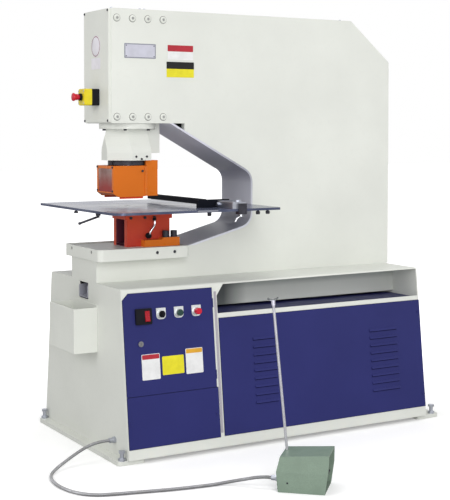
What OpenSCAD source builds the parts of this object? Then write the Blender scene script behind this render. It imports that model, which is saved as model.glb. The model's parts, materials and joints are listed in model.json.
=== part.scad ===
// Hydraulic punch press with a C-shaped frame on a cabinet base, a gauge table
// and a hooded foot switch. X runs from the head to the rear, Z is up, and the
// origin lies on the floor below the head's front face, on the middle plane.

/* [C-frame] */
// Height of the crown above the floor
frame_h = 1780; // [1740:5:1820]
// Width over the two side plates
frame_w = 250; // [240:2:264]
// Thickness of one side plate
plate_t = 28; // [22:1:32]
// Rear edge of the frame, from the head's front face
frame_back = 1408; // [1396:2:1430]
// Length of the level crown
crown_len = 1192; // [1120:8:1240]
// Height that the sloped rear corner loses
corner_drop = 181; // [140:5:220]
// Thickness of the crown, front and back strips
wrap_t = 12; // [8:1:16]
// Underside of the head above the floor
head_z = 1315; // [1311:1:1325]
// Length of the head's level underside
head_len = 266; // [262:1:276]
// Reach of the lower jaw ahead of the head
nose_len = 69; // [62:1:74]
// Seat of the bed plate above the floor
jaw_z = 760; // [752:1:768]
// Start of the lower throat slope
throat_entry = 351; // [346:1:360]
// Throat face behind the head's front face
throat_x = 661; // [655:1:700]
// Lower corner of the throat above the floor
throat_low_z = 885; // [875:1:900]
// Upper corner of the throat above the floor
throat_high_z = 1097; // [1080:1:1110]
// Radius of the throat's two corners
throat_r = 60; // [40:2:80]
// Thickness of the throat liner
liner_t = 8; // [5:1:12]
// Spacing of the head bolts along the frame
bolt_pitch = 70; // [66:1:72]
// Upper row of head bolts, below the crown
bolt_drop = 39; // [36:1:60]
// Diameter of a head bolt's head
bolt_head_d = 27; // [22:1:30]

/* [Head cover and stop button] */
// Depth of the cover on the head's front face
cover_t = 11; // [8:1:16]
// Width of the head cover
cover_w = 242; // [220:2:246]
// Side of the square stop box
stop_box = 68; // [60:1:76]
// Depth of the stop box's base
stop_base_t = 33; // [25:1:40]
// Depth of the stop box's lid
stop_lid_t = 33; // [20:1:40]
// Height of the stop button's axis above the floor
stop_z = 1422; // [1400:1:1500]
// Diameter of the mushroom button
stop_d = 34; // [30:1:44]
// Travel of the stop button
stop_travel = 6; // [3:0.5:8]

/* [Ram] */
// Punch axis behind the head's front face
ram_x = 130; // [126:1:134]
// Diameter of the ram
ram_d = 64; // [56:1:66]
// Wall of the hydraulic cylinder
cylinder_wall = 26; // [20:1:32]
// Gap between the cylinder's top and the crown block
cylinder_gap = 15; // [8:1:30]
// Step from the frame's side to the edge of the cylinder's flange
flange_step = 8; // [6:1:14]
// Thickness of the cylinder's flange
flange_t = 23; // [18:1:26]
// Punch stroke
stroke = 50; // [30:1:54]
// Height of the guide casting
guide_h = 130; // [124:1:134]
// Half width over the casting's flats at the top
guide_top = 69; // [62:1:75]
// Half width over the casting's diagonal flats at the foot
guide_foot = 94; // [88:1:98]
// Half width over the casting's side flats at the foot
guide_trim = 105; // [100:1:107]
// Half width of the casting towards the rear block
guide_back = 60; // [56:1:64]
// Diameter of the black locking ring
ring_d = 162; // [150:1:166]
// Height of the locking ring
ring_h = 21; // [16:1:24]
// Diameter of the punched hole
punch_d = 26; // [16:1:32]

/* [Stripper guard] */
// Width of the guard
guard_w = 162; // [154:1:168]
// Front face of the guard, ahead of the punch axis
guard_reach = 102; // [95:1:112]
// Height of the guard's box
guard_h = 128; // [120:1:132]
// Wall of the guard
guard_wall = 10; // [8:0.5:11]
// Height of the lip under the guard
lip_h = 8; // [4:1:12]
// Length of the arm that carries the guard
arm_len = 55; // [46:1:58]

/* [Die and holder] */
// Outer diameter of the die
die_d = 64; // [56:1:70]
// Height of the die
die_h = 40; // [30:1:42]
// Gap between punch and die, on the diameter
die_gap = 0.6; // [0.2:0.1:1.2]
// Width of the die holder
holder_w = 128; // [120:1:136]
// Wall of the die holder
holder_wall = 25; // [20:1:30]
// Length of the holder behind its front edge
holder_len = 199; // [190:1:205]
// Depth of the holder's top flange
holder_flange_h = 43; // [34:1:50]

/* [Bed] */
// Length of the bed plate
bed_len = 415; // [408:1:425]
// Width of the bed plate
bed_w = 354; // [340:2:366]
// Height of the bed plate
bed_h = 48; // [40:1:52]
// Depth of the machined face inside the bed's skirt
bed_recess = 5; // [3:1:8]
// Spacing of the two tapped holes in the bed's near side
bed_side_pitch = 80; // [70:1:90]
// Spacing of the two tapped holes in the bed's front
bed_front_pitch = 200; // [184:1:210]
// Diameter of the tapped holes
bed_hole_d = 14; // [8:0.5:16]

/* [Table and fence] */
// Table surface above the floor
table_z = 969; // [962:1:975]
// Thickness of the table
table_t = 10; // [8:1:14]
// Front edge of the table, ahead of the head's front face
table_front = 110; // [100:1:130]
// Gap between the table and the throat
table_gap = 19; // [12:1:30]
// Width of the table
table_w = 784; // [760:2:820]
// Front face of the fence, behind the punch axis
fence_off = 205; // [200:1:220]
// Width of the fence bar
fence_t = 26; // [20:1:32]
// Top of the fence above the table
fence_h = 36; // [32:1:40]
// Underside of the fence bar above the table
fence_lift = 14; // [8:1:18]
// Far end of the fence bar, from the middle plane
fence_far = 222; // [180:2:300]

/* [Cabinet] */
// Top shelf above the floor
shelf_z = 671; // [664:1:678]
// Half width of the shelf
shelf_half = 350; // [340:1:360]
// Lean of the cabinet's sides, in degrees
side_lean = 6.334; // [5:0.1:8]
// Rear end of the cabinet
base_back = 1394; // [1385:1:1395]
// Thickness of the foot plates
foot_t = 17; // [12:1:22]
// Length of a foot plate along the machine
foot_len = 117; // [112:1:130]
// Width of the foot plates
foot_w = 820; // [800:2:860]
// Sheet thickness of the cabinet
sheet_t = 4; // [3:0.5:6]
// Thickness of doors and panels
panel_t = 3; // [2:0.5:4]
// Right edge of the control door
door_x1 = 334; // [326:1:338]
// Bottom edge of the control door above the floor
door_z0 = 258; // [250:1:270]
// Distance between louvres
louvre_pitch = 32; // [26:1:36]
// Louvres in each column
louvre_rows = 9; // [4:1:9]

/* [Slug bin] */
// Depth of the slug bin
bin_l = 103; // [85:2:121]
// Width of the slug bin
bin_w = 252; // [200:2:260]
// Height of the slug bin
bin_h = 181; // [150:1:200]

/* [Foot switch] */
// Length of the foot switch
pedal_l = 169; // [158:1:185]
// Width of the foot switch
pedal_w = 158; // [144:1:170]
// Height of the hood at its open end
pedal_h = 138; // [126:1:146]
// Length of the carrying rod
rod_len = 546; // [400:2:600]
// Diameter of the carrying rod
rod_d = 10; // [8:0.5:12]
// Diameter of the conduit
conduit_d = 12; // [10:0.5:14]

/* [Hidden] */

$fn = 64;
eps = 0.01;
run_gap = 0.05;      // radial running clearance of a shaft in its hole
free_gap = 0.3;      // clearance between pieces that move past each other
arc_step = 9;        // degrees between the points of a rounded corner

plate_y = frame_w / 2 - plate_t;             // inner face of a side plate
corner_z = frame_h - corner_drop;
bed_x0 = -nose_len - 11;
bed_x1 = bed_x0 + bed_len;
bed_top = jaw_z + bed_h;
bed_face = bed_top - bed_recess;
floor_block_t = 52;                          // block that carries the cylinder
web_t = 12;
block_x1 = head_len - 1;
bolt_x0 = 25;
bolt_z0 = head_z + floor_block_t / 2;
bolt_shank_d = 16;
bolt_bite = 12;
bolt_z1 = frame_h - bolt_drop;
crown_z0 = bolt_z1 - 26;                     // underside of the crown block
cylinder_d = frame_w - 2 * (plate_t + bolt_bite) + 2;   // just clears the bolts' ends
piston_d = cylinder_d - 2 * cylinder_wall;
flange_d = frame_w - 2 * flange_step;

cover_z0 = head_z + 3;
cover_z1 = frame_h - 2;
stop_lid_x = -cover_t - stop_base_t;
stop_face_x = stop_lid_x - stop_lid_t;
stop_collar_d = 28;
stop_collar_h = 10;

flange_z = head_z - flange_t;
guide_z1 = flange_z;
guide_z0 = guide_z1 - guide_h;
ring_z0 = guide_z0 - ring_h;
cylinder_z1 = crown_z0 - cylinder_gap;
piston_h = 40;
piston_z1 = cylinder_z1 - 20;
guard_z1 = ring_z0 - 1;
guard_z0 = guard_z1 - guard_h;
lip_z = guard_z0 - lip_h;
tip_z = lip_z + 4;
nut_z = tip_z + 40;
nut_h = 44;
nut_d = ram_d + 4;

guard_x0 = ram_x - guard_reach;
hinge_x = ram_x + 46;
hinge_y = -guard_w / 2 - 1;
hinge_r = 5;
hinge_pin_r = 3;
guard_x1 = hinge_x - 5;
arm_x0 = hinge_x + 1;
arm_x1 = arm_x0 + arm_len;
window_inset = 14;
window_t = 4;

holder_top = table_z - table_t;
holder_x0 = ram_x - 33;
flange_over = 7;
flange_tail = 12;
die_z0 = table_z - die_h;
die_bore_r = (punch_d + die_gap) / 2;
slug_r = die_bore_r + 3;
clamp_l = 76;
clamp_h = 36;
clamp_w = 36;
clamp_x0 = 249;
screw_d = 28;
screw_h = 27;
screw_pitch = 38;
lever_x = 192;
lever_z = bed_face + 44;

table_x1 = throat_x - table_gap;
table_y = table_w / 2;
table_lever_x = -92;
table_lever_y = -196;
fence_x = ram_x + fence_off;
fence_near = -264;
fence_plate_t = 14;
fence_plate = [-13, 136];                    // reach of the end plate about the fence
bracket_x0 = fence_x + 76;
fence_clamp_w = 34;
fence_clamp_x = fence_x + fence_plate[1] - fence_clamp_w;
fence_jaw = 32;
fence_pivot = [fence_clamp_x + 15, -table_y + 4];
table_corner_r = 55;
table_slot_w = 14;
bed_side_x = 91;                             // side holes behind the punch axis
bed_corner_r = 22;

base_x0 = -nose_len;
cos_lean = cos(side_lean);
slope = tan(side_lean);
door_x0 = base_x0 + 5;
door_z1 = shelf_z - 19;
panel_seat = 0.2;                            // paint gap under a panel
panel_face = panel_seat + panel_t;
panel_lap = 14;                              // overlap of a panel on its opening
lower_z0 = foot_t + 42;
lower_z1 = door_z0 - 2;
post_x1 = 357;
big_x0 = post_x1 + 3;
big_z0 = foot_t + 44;
big_z1 = 528;
tray_z0 = big_z1 + 20;
tray_floor = tray_z0 - 8;
tray_back = -185;
button_z = 565;
plate_thick = 2;
bezel_h = 8;
button_travel = 4;
foot_x1 = 10;
rear_foot_x0 = base_back - 36;
level_bolt_y = foot_w / 2 - 14;
level_bolt_x = [foot_x1 - foot_len + 21, rear_foot_x0 + foot_len - 31];
level_bolt_r = 8;
level_rise = 34;                             // thread above the foot plate
level_nut = [30, 10];                        // size, height
level_head = [27, 10];
bin_z1 = 574;
bin_wall = 2.5;
bin_hook_h = 9;
bin_y = -7;
chute_w = 84;
chute_t = 3;
outlet_z0 = shelf_z - 76;
outlet_z1 = shelf_z - 8;
gland_y = -299;
gland_z = 75;
gland_l = 26;

pedal_at = [246, -984, 0];
pedal_turn = -43.4;
pedal_wall = 4;
connector_a = -5.4;
connector_b = 38;
connector_z = 40;
connector_l = 25;
rod_a = 14;
rod_b = 105;
rod_lean = 5.5;
treadle_a = 34;
treadle_z = 34;
treadle_pin_d = 7;

// Route of the conduit from the gland to the foot switch's connector.
conduit_route = [
    [-95, -299, 75], [-124, -299, 75], [-160, -300, 71], [-199, -303, 61],
    [-244, -309, 43], [-290, -323, 25], [-336, -350, 12], [-374, -394, 7],
    [-397, -452, 6.5], [-406, -518, 6.5], [-403, -575, 6.5], [-389, -632, 6.5],
    [-362, -680, 6.5], [-322, -712, 6.5], [-270, -731, 6.5], [-200, -750, 6.5],
    [-106, -775, 6.5], [-40, -790, 6.5], [20, -800, 6.5], [80, -808, 6.5],
    [130, -818, 10], [172, -853, 22], [208, -893, 35], [234, -920.3, 40],
    [250, -935.5, 40]
];

// ---------------------------------------------------------------- outlines

function unit(v) = v / norm(v);
function flat(p) = [p.x, p.y];
function radius(p) = len(p) > 2 ? p[2] : 0;
function before(p, i) = flat(p[(i + len(p) - 1) % len(p)]);
function after(p, i) = flat(p[(i + 1) % len(p)]);

// Points of one corner, rounded with an arc where it has a radius.
function corner(a, v, b, r) =
    r <= 0 ? [v] :
    let (
        u = unit(a - v),
        w = unit(b - v),
        half = acos(u * w) / 2,
        c = v + unit(u + w) * r / sin(half),
        s = v + u * r / tan(half) - c,
        e = v + w * r / tan(half) - c,
        start = atan2(s.y, s.x),
        sweep = atan2(cross(s, e), s * e),
        n = max(2, ceil(abs(sweep) / arc_step))
    )
    [for (i = [0:n]) c + r * [cos(start + sweep * i / n), sin(start + sweep * i / n)]];

// An outline whose points may carry a corner radius as a third value.
function outline(p) = [
    for (i = [0:len(p) - 1])
        each corner(before(p, i), flat(p[i]), after(p, i), radius(p[i]))
];

// A convex outline moved outwards by d, its radii with it.
function grown(p, d) = [
    for (i = [0:len(p) - 1])
        let (
            v = flat(p[i]),
            u = unit(before(p, i) - v),
            w = unit(after(p, i) - v),
            g = v - unit(u + w) * d / sin(acos(u * w) / 2)
        )
        [g.x, g.y, radius(p[i]) > 0 ? max(0.5, radius(p[i]) + d) : 0]
];

function box_outline(x0, y0, x1, y1, r) = [[x0, y0, r], [x1, y0, r], [x1, y1, r], [x0, y1, r]];

module shape(p) {
    polygon(outline(p));
}

module block(lo, hi) {
    translate(lo) cube(hi - lo);
}

// An X-Z outline spanning y0 to y1.
module slab(y0, y1) {
    translate([0, y1, 0]) rotate([90, 0, 0]) linear_extrude(y1 - y0) children();
}

// A Y-Z outline spanning x0 to x1.
module beam(x0, x1) {
    translate([x0, 0, 0]) rotate([90, 0, 90]) linear_extrude(x1 - x0) children();
}

// A turned piece on the punch axis, from a half section of [radius, z].
module turned(p) {
    translate([ram_x, 0, 0]) rotate_extrude() polygon(p);
}

module post(d, z0, z1) {
    translate([0, 0, z0]) cylinder(d = d, h = z1 - z0);
}

module hex_post(d, z0, z1) {
    translate([0, 0, z0]) cylinder(d = d, h = z1 - z0, $fn = 6);
}

// ----------------------------------------------------------------- C-frame

throat_points = [
    [150, bed_face], [throat_entry, bed_face], [throat_x, throat_low_z, throat_r],
    [throat_x, throat_high_z, throat_r], [head_len, head_z], [150, head_z]
];

module throat_void(grow) {
    intersection() {
        shape(grown(throat_points, grow));
        translate([0, bed_face]) square([2 * throat_x, head_z - bed_face]);
    }
}

module side_outline() {
    difference() {
        shape([
            [-nose_len, shelf_z], [-nose_len, jaw_z], [bed_x1, jaw_z], [bed_x1, bed_face],
            [150, bed_face], [150, head_z], [0, head_z], [0, frame_h, 5],
            [crown_len, frame_h, 14], [frame_back, corner_z, 14], [frame_back, shelf_z]
        ]);
        throat_void(liner_t);
        translate([0, jaw_z]) square([bed_x1, head_z - jaw_z]);
    }
}

module at_head_bolts() {
    for (side = [-1, 1], i = [0:3], z = [bolt_z0, bolt_z1])
        translate([bolt_x0 + i * bolt_pitch, side * frame_w / 2, z])
            rotate([side * 90, 0, 0]) children();
}

module side_plate(y0) {
    difference() {
        slab(y0, y0 + plate_t) side_outline();
        at_head_bolts() post(bolt_shank_d + 0.4, -1, plate_t + 1);
    }
}

module frame_plate_near() {
    color("ivory") side_plate(-frame_w / 2);
}

module frame_plate_far() {
    color("ivory") side_plate(plate_y);
}

// Front, crown, sloped corner, back and floor strips welded between the plates.
module frame_wrapper() {
    rim = [[0, shelf_z], [0, frame_h], [crown_len, frame_h], [frame_back, corner_z],
           [frame_back, shelf_z]];
    color("ivory") difference() {
        slab(-plate_y, plate_y) difference() {
            polygon(rim);
            shape(grown(rim, -wrap_t));
            translate([-1, shelf_z - 1]) square([wrap_t + 2, head_z - shelf_z + 1]);
        }
        slug_window(shelf_z, wrap_t);
    }
}

module slug_window(z, t) {
    block([15, -chute_w / 2 - 5, z - 1], [205, chute_w / 2 + 5, z + t + 1]);
}

module frame_webs() {
    bed_plate_t = 24;
    color("ivory") {
        difference() {
            block([wrap_t, -plate_y, head_z], [block_x1, plate_y, head_z + floor_block_t]);
            translate([ram_x, 0, 0]) post(cylinder_d + 0.4, head_z - 1, head_z + floor_block_t + 1);
            at_head_bolts() post(bolt_shank_d + 0.4, -1, plate_t + bolt_bite + 2);
        }
        difference() {
            block([wrap_t, -plate_y, crown_z0], [block_x1, plate_y, frame_h - wrap_t]);
            at_head_bolts() post(bolt_shank_d + 0.4, -1, plate_t + bolt_bite + 2);
        }
        block([block_x1 - web_t, -plate_y, head_z + floor_block_t],
              [block_x1, plate_y, crown_z0]);
        difference() {
            block([-nose_len, -plate_y, jaw_z - bed_plate_t], [bed_x1, plate_y, jaw_z]);
            translate([ram_x, 0, 0]) post(2 * slug_r + 24, jaw_z - bed_plate_t - 1, jaw_z + 1);
        }
        block([-nose_len, -plate_y, shelf_z], [-nose_len + 20, plate_y, jaw_z - bed_plate_t]);
        block([bed_x1 - 20, -plate_y, shelf_z + wrap_t], [bed_x1, plate_y, jaw_z - bed_plate_t]);
    }
}

module throat_liner() {
    color("slategray") slab(-frame_w / 2, frame_w / 2) difference() {
        throat_void(liner_t);
        throat_void(0);
        translate([0, bed_face - 1]) square([head_len, head_z]);
        translate([0, bed_face - 1]) square([throat_entry, 60]);
    }
}

module frame_bolts() {
    head_h = 6;
    color("whitesmoke") at_head_bolts() difference() {
        rotate_extrude() polygon([
            [0, -head_h], [bolt_head_d / 2 - 3, -head_h], [bolt_head_d / 2, -head_h + 3],
            [bolt_head_d / 2, 0], [bolt_shank_d / 2, 0],
            [bolt_shank_d / 2, plate_t + bolt_bite], [0, plate_t + bolt_bite]
        ]);
        hex_post(13, -head_h - 1, -1.5);
    }
}

// -------------------------------------------------- head cover, stop button

module head_cover() {
    skin = 3;
    color("ivory") difference() {
        beam(-cover_t, 0) shape(box_outline(-cover_w / 2, cover_z0, cover_w / 2, cover_z1, 6));
        beam(-cover_t + skin, 1)
            shape(box_outline(-cover_w / 2 + skin, cover_z0 + skin, cover_w / 2 - skin, cover_z1 - skin, 3));
        for (y = [-1, 1] * (cover_w / 2 - 7), z = [cover_z0 + 7, cover_z1 - 7])
            translate([-cover_t - 1, y, z]) rotate([0, 90, 0]) cylinder(d = 5.5, h = cover_t);
        translate([-cover_t - 1, 0, stop_z]) rotate([0, 90, 0]) cylinder(d = 22, h = skin + 2);
    }
}

// Local +Z points out of the head's front face, along the stop button's axis.
module on_stop_axis(x) {
    translate([x, 0, stop_z]) rotate([0, -90, 0]) children();
}

module stop_base() {
    h = stop_box / 2;
    color("black") difference() {
        on_stop_axis(-cover_t) linear_extrude(stop_base_t) shape(box_outline(-h, -h, h, h, 7));
        on_stop_axis(-cover_t) translate([0, 0, 5])
            linear_extrude(stop_base_t) shape(box_outline(4 - h, 4 - h, h - 4, h - 4, 4));
        on_stop_axis(-cover_t) post(20, -1, 6);
    }
}

module stop_lid() {
    h = stop_box / 2;
    color("gold") difference() {
        union() {
            on_stop_axis(stop_lid_x) linear_extrude(stop_lid_t - 5) shape(box_outline(-h, -h, h, h, 7));
            on_stop_axis(stop_lid_x) translate([0, 0, stop_lid_t - 5])
                linear_extrude(5) shape(box_outline(3 - h, 3 - h, h - 3, h - 3, 5));
            on_stop_axis(stop_face_x) post(stop_collar_d, 0, stop_collar_h);
        }
        on_stop_axis(stop_lid_x) translate([0, 0, -1])
            linear_extrude(stop_lid_t - 4) shape(box_outline(4 - h, 4 - h, h - 4, h - 4, 4));
        on_stop_axis(stop_face_x) post(20 + 2 * free_gap, -8, stop_collar_h + 1);
    }
}

module stop_button() {
    z = stop_collar_h + stop_travel + 1;
    r = stop_d / 2;
    color("red") on_stop_axis(stop_face_x) rotate_extrude() polygon(outline([
        [0, -4], [10, -4], [10, z], [r - 4, z + 1], [r - 4.5, z + 8, 10],
        [r, z + 17, 1.5], [r - 1.5, z + 21.5, 3], [0, z + 24]
    ]));
}

// --------------------------------------------------------------------- ram

module hydraulic_cylinder() {
    wall_z0 = head_z + 24;
    color("ivory") difference() {
        turned([
            [ram_d / 2 + run_gap, flange_z], [flange_d / 2, flange_z],
            [flange_d / 2, head_z], [cylinder_d / 2, head_z], [cylinder_d / 2, cylinder_z1],
            [0, cylinder_z1], [0, piston_z1 + 2], [piston_d / 2, piston_z1 + 2],
            [piston_d / 2, wall_z0], [ram_d / 2 + run_gap, wall_z0]
        ]);
        for (a = [0:60:359])
            translate([ram_x, 0, 0]) rotate(a) translate([flange_d / 2 - 11, 0, 0])
                post(9, flange_z - 1, head_z - 5);
    }
}

// Half width of the casting at height z, from its half width at the foot: straight
// over the lower part, then drawn in by an easy S-curve towards the neck.
function guide_half(z, foot) =
    let (t = min(1, max(0, (z - guide_z0 - 0.24 * guide_h) / (0.72 * guide_h))))
    foot - (foot - guide_top) * t * t * (3 - 2 * t);

// The casting's outline seen square on to one of its flats; its other side is either
// the same or left straight at a given distance.
function flare(foot, straight = 0) =
    let (steps = 12, z = [for (i = [0:steps]) guide_z0 + guide_h * i / steps])
    concat([for (i = [steps:-1:0]) [-guide_half(z[i], foot), z[i]]],
           [for (i = [0:steps]) [straight > 0 ? straight : guide_half(z[i], foot), z[i]]]);

module guide_casting() {
    clear = 2 * guide_trim;
    color("ivory") difference() {
        intersection() {
            for_diagonal(1) slab(-clear, clear) polygon(flare(guide_foot, clear));
            for_diagonal(-1) slab(-clear, clear) polygon(flare(guide_foot, clear));
            beam(ram_x - guide_trim, ram_x + guide_back) polygon(flare(guide_trim));
        }
        translate([ram_x, 0, 0]) post(ram_d + 2 * run_gap, guide_z0 - 1, flange_z + 1);
    }
}

module for_diagonal(side) {
    translate([ram_x, 0, 0]) rotate(45 * side) children();
}

module locking_ring() {
    notch_w = 8;
    color("dimgray") difference() {
        turned(outline([
            [ram_d / 2 + run_gap, ring_z0], [ring_d / 2, ring_z0, 2],
            [ring_d / 2, guide_z0, 2], [ram_d / 2 + run_gap, guide_z0]
        ]));
        for (a = [0:60:359])
            translate([ram_x, 0, 0]) rotate(a + 17) translate([ring_d / 2 - 6, -notch_w / 2, ring_z0 - 1])
                cube([10, notch_w, ring_h + 2]);
    }
}

module ram() {
    color("silver") turned([
        [0, nut_z + 14], [nut_d / 2 - 12, nut_z + 14], [nut_d / 2 - 12, nut_z + nut_h],
        [ram_d / 2, nut_z + nut_h], [ram_d / 2, piston_z1 - piston_h],
        [piston_d / 2 - run_gap, piston_z1 - piston_h], [piston_d / 2 - run_gap, piston_z1],
        [0, piston_z1]
    ]);
}

module punch_nut() {
    color("dimgray") difference() {
        turned([
            [punch_d / 2 + 4, nut_z], [nut_d / 2 - 6, nut_z], [nut_d / 2, nut_z + 6],
            [nut_d / 2, nut_z + nut_h], [nut_d / 2 - 12, nut_z + nut_h],
            [nut_d / 2 - 12, nut_z + 6], [punch_d / 2 + 4, nut_z + 6]
        ]);
        for (a = [0:90:359])
            translate([ram_x, 0, 0]) rotate(a + 45) translate([nut_d / 2 - 4, -4, nut_z + 10])
                cube([6, 8, nut_h]);
    }
}

module punch() {
    color("silver") turned([
        [0, tip_z], [punch_d / 2, tip_z], [punch_d / 2, tip_z + 24], [punch_d / 2 + 4, tip_z + 30],
        [punch_d / 2 + 4, nut_z + 6], [punch_d / 2 + 8, nut_z + 6], [punch_d / 2 + 8, nut_z + 14],
        [0, nut_z + 14]
    ]);
}

module rear_block() {
    color("ivory") difference() {
        block([ram_x + guide_back + 2, -50, guide_z0 + 29], [ram_x + guide_back + 66, 50, head_z]);
        translate([ram_x, 0, 0]) post(flange_d + 1, flange_z - 1, head_z + 1);
    }
}

// ----------------------------------------------------------- stripper guard

module at_hinge() {
    translate([hinge_x, hinge_y, 0]) children();
}

knuckle_z = [guard_z0 + 2, guard_z0 + 34, guard_z1 - 34, guard_z1 - 2];

module guard_arm() {
    y = guard_w / 2 - 1;
    inner = y - 14;
    color("darkorange") {
        difference() {
            union() {
                block([arm_x0, -y, guard_z0 + 2], [arm_x1, y, guide_z0]);
                at_hinge() post(2 * hinge_r, knuckle_z[1] + free_gap, knuckle_z[2] - free_gap);
                block([hinge_x, hinge_y, knuckle_z[1] + free_gap],
                      [arm_x0 + 4, hinge_y + 6, knuckle_z[2] - free_gap]);
            }
            block([arm_x0 - 1, -inner, guard_z0 + 1], [arm_x1 - 14, inner, guide_z0 - 14]);
            translate([ram_x, 0, 0]) post(ring_d + 2, ring_z0 - 1, guide_z0 + 1);
            at_hinge() {
                post(2 * hinge_r + 3, guard_z0, knuckle_z[1] + free_gap);
                post(2 * hinge_r + 3, knuckle_z[2] - free_gap, guard_z1 + 1);
            }
        }
        at_hinge() post(2 * hinge_pin_r, knuckle_z[0], knuckle_z[3]);
    }
}

module stripper_guard() {
    y = guard_w / 2;
    color("darkorange") difference() {
        union() {
            difference() {
                block([guard_x0, -y, guard_z0], [guard_x1, y, guard_z1]);
                block([guard_x0 + guard_wall + 2, guard_wall - y, guard_z0 - 1],
                      [guard_x1 + 1, y - guard_wall, guard_z1 + 1]);
            }
            difference() {
                block([guard_x0 + 32, 4 - y, lip_z], [guard_x1 - 6, y - 4, guard_z0 + eps]);
                block([guard_x0 + 30, guard_wall - y, lip_z - 1],
                      [guard_x1 + 1, y - guard_wall, guard_z0 + 1]);
            }
            for (i = [0, 2]) {
                at_hinge() post(2 * hinge_r, knuckle_z[i], knuckle_z[i + 1]);
                block([guard_x1 - 6, hinge_y + 1, knuckle_z[i]], [hinge_x, hinge_y + 4, knuckle_z[i + 1]]);
            }
        }
        block([guard_x0 - 1, window_inset - y, guard_z0 + 20],
              [guard_x0 + guard_wall + 3, y - window_inset, guard_z1 - 12]);
        guard_chamfer();
        for (side = [-1, 1], z = [guard_z0 + 24, guard_z1 - 6])
            translate([guard_x0 - 1, side * (y - 7), z]) rotate([0, 90, 0]) cylinder(d = 5, h = 9);
        at_hinge() post(2 * (hinge_pin_r + run_gap), guard_z0, guard_z1);
    }
}

// Cuts the guard's lower front edge back at a slant, and its lower sides.
module guard_chamfer() {
    slab(-guard_w, guard_w) polygon([
        [guard_x0 - 1, guard_z0 + 16], [guard_x0 + 34, lip_z - 1], [guard_x0 - 1, lip_z - 1]
    ]);
}

module guard_window() {
    x0 = guard_x0 + 1;
    y = guard_w / 2 - window_inset;
    color([0.4, 0.25, 0.25, 0.6]) block([x0, -y, guard_z0 + 20], [x0 + window_t, y, guard_z1 - 12]);
}

// ---------------------------------------------------------- bed, die, holder

module bed_plate() {
    y = bed_w / 2;
    color("lightgray") difference() {
        translate([0, 0, jaw_z]) linear_extrude(bed_h) shape(box_outline(bed_x0, -y, bed_x1, y, bed_corner_r));
        translate([0, 0, bed_face]) linear_extrude(bed_recess + 1)
            shape([
                [bed_x0 + 10, 10 - y, bed_corner_r - 10], [bed_x1 + 1, 10 - y],
                [bed_x1 + 1, y - 10], [bed_x0 + 10, y - 10, bed_corner_r - 10]
            ]);
        translate([ram_x, 0, 0]) post(2 * slug_r + 16, jaw_z - 1, bed_top);
        for (x = [-1, 1] * bed_side_pitch / 2)
            translate([ram_x + bed_side_x + x, -y - 1, jaw_z + 26])
                rotate([-90, 0, 0]) cylinder(d = bed_hole_d, h = 25);
        for (s = [-1, 1])
            translate([bed_x0 - 1, s * bed_front_pitch / 2, jaw_z + 34])
                rotate([0, 90, 0]) cylinder(d = bed_hole_d, h = 25);
    }
}

module die_holder() {
    y = holder_w / 2;
    inner = y - holder_wall;
    flange_z0 = holder_top - holder_flange_h;
    x1 = holder_x0 + holder_len;
    foot = 12;
    rib_t = 12;
    color("orangered") difference() {
        union() {
            block([holder_x0, -y, bed_face], [x1, y, holder_top]);
            block([holder_x0 - flange_over, -y, flange_z0], [x1 + flange_tail, y, holder_top]);
        }
        block([holder_x0 - 1, -inner, bed_face + foot], [x1 - holder_wall, inner, flange_z0]);
        slab(-inner, inner) polygon([
            [holder_x0 - 1, bed_face + foot - 1], [holder_x0 + 45, bed_face + foot - 1],
            [holder_x0 - 1, bed_face - 1 + foot / 3]
        ]);
        translate([ram_x, 0, 0]) {
            post(die_d + 0.2, die_z0, holder_top + 1);
            post(2 * slug_r + 4, bed_face - 1, holder_top);
        }
        translate([x1 - 14, -y - 1, bed_face + 40]) rotate([-90, 0, 0]) cylinder(d = rib_t, h = 10);
    }
}

module die() {
    color("silver") turned([
        [die_bore_r, table_z], [die_bore_r, table_z - 12], [slug_r, table_z - 14], [slug_r, die_z0],
        [die_d / 2, die_z0], [die_d / 2, table_z - 1], [die_d / 2 - 1, table_z]
    ]);
}

clamp_y0 = -holder_w / 2 - clamp_w;
clamp_screw_x = [for (i = [0, 1]) clamp_x0 + 19 + i * screw_pitch];

module holder_clamp() {
    color("orangered") difference() {
        slab(clamp_y0, -holder_w / 2) shape([
            [lever_x - 30, bed_face], [clamp_x0 + clamp_l, bed_face],
            [clamp_x0 + clamp_l, bed_face + clamp_h, 5], [clamp_x0, bed_face + clamp_h, 4],
            [clamp_x0 - 8, bed_face + 28, 4], [lever_x - 30, bed_face + 28, 4]
        ]);
        for (x = clamp_screw_x)
            translate([x, clamp_y0 + clamp_w / 2, 0]) post(16.4, bed_face - 1, bed_face + clamp_h + 1);
    }
}

module clamp_screws() {
    z = bed_face + clamp_h;
    color("black") for (x = clamp_screw_x)
        translate([x, clamp_y0 + clamp_w / 2, 0]) difference() {
            union() {
                post(16, bed_face, z);
                post(screw_d, z, z + screw_h);
            }
            hex_post(16, z + screw_h - 12, z + screw_h + 1);
        }
}

// Cam lever on the near wall of the die holder: a hub and a leaning arm.
module holder_lever() {
    y = -holder_w / 2 - free_gap;
    arm = 68;
    color("silver") translate([lever_x, y, lever_z]) {
        rotate([90, 0, 0]) post(22, 0, 12);
        rotate([90, 0, 0]) post(14, 11, 18);
        translate([0, -12, 0]) rotate([0, 18, 0]) {
            post(9, 0, arm);
            translate([0, 0, arm]) sphere(d = 13);
        }
    }
}

// ------------------------------------------------------------ table, fence

module gauge_table() {
    color("silver") difference() {
        translate([0, 0, table_z - table_t]) linear_extrude(table_t) shape([
            [-table_front, -table_y, table_corner_r], [table_x1, -table_y, 6],
            [table_x1, table_y, 6], [-table_front, table_y, 24]
        ]);
        translate([ram_x, 0, 0]) post(die_d + 1, table_z - table_t - 1, table_z + 1);
        block([ram_x + 142, -19, table_z - table_t - 1],
              [ram_x + 142 + table_slot_w, 110, table_z + 1]);
    }
}

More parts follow.
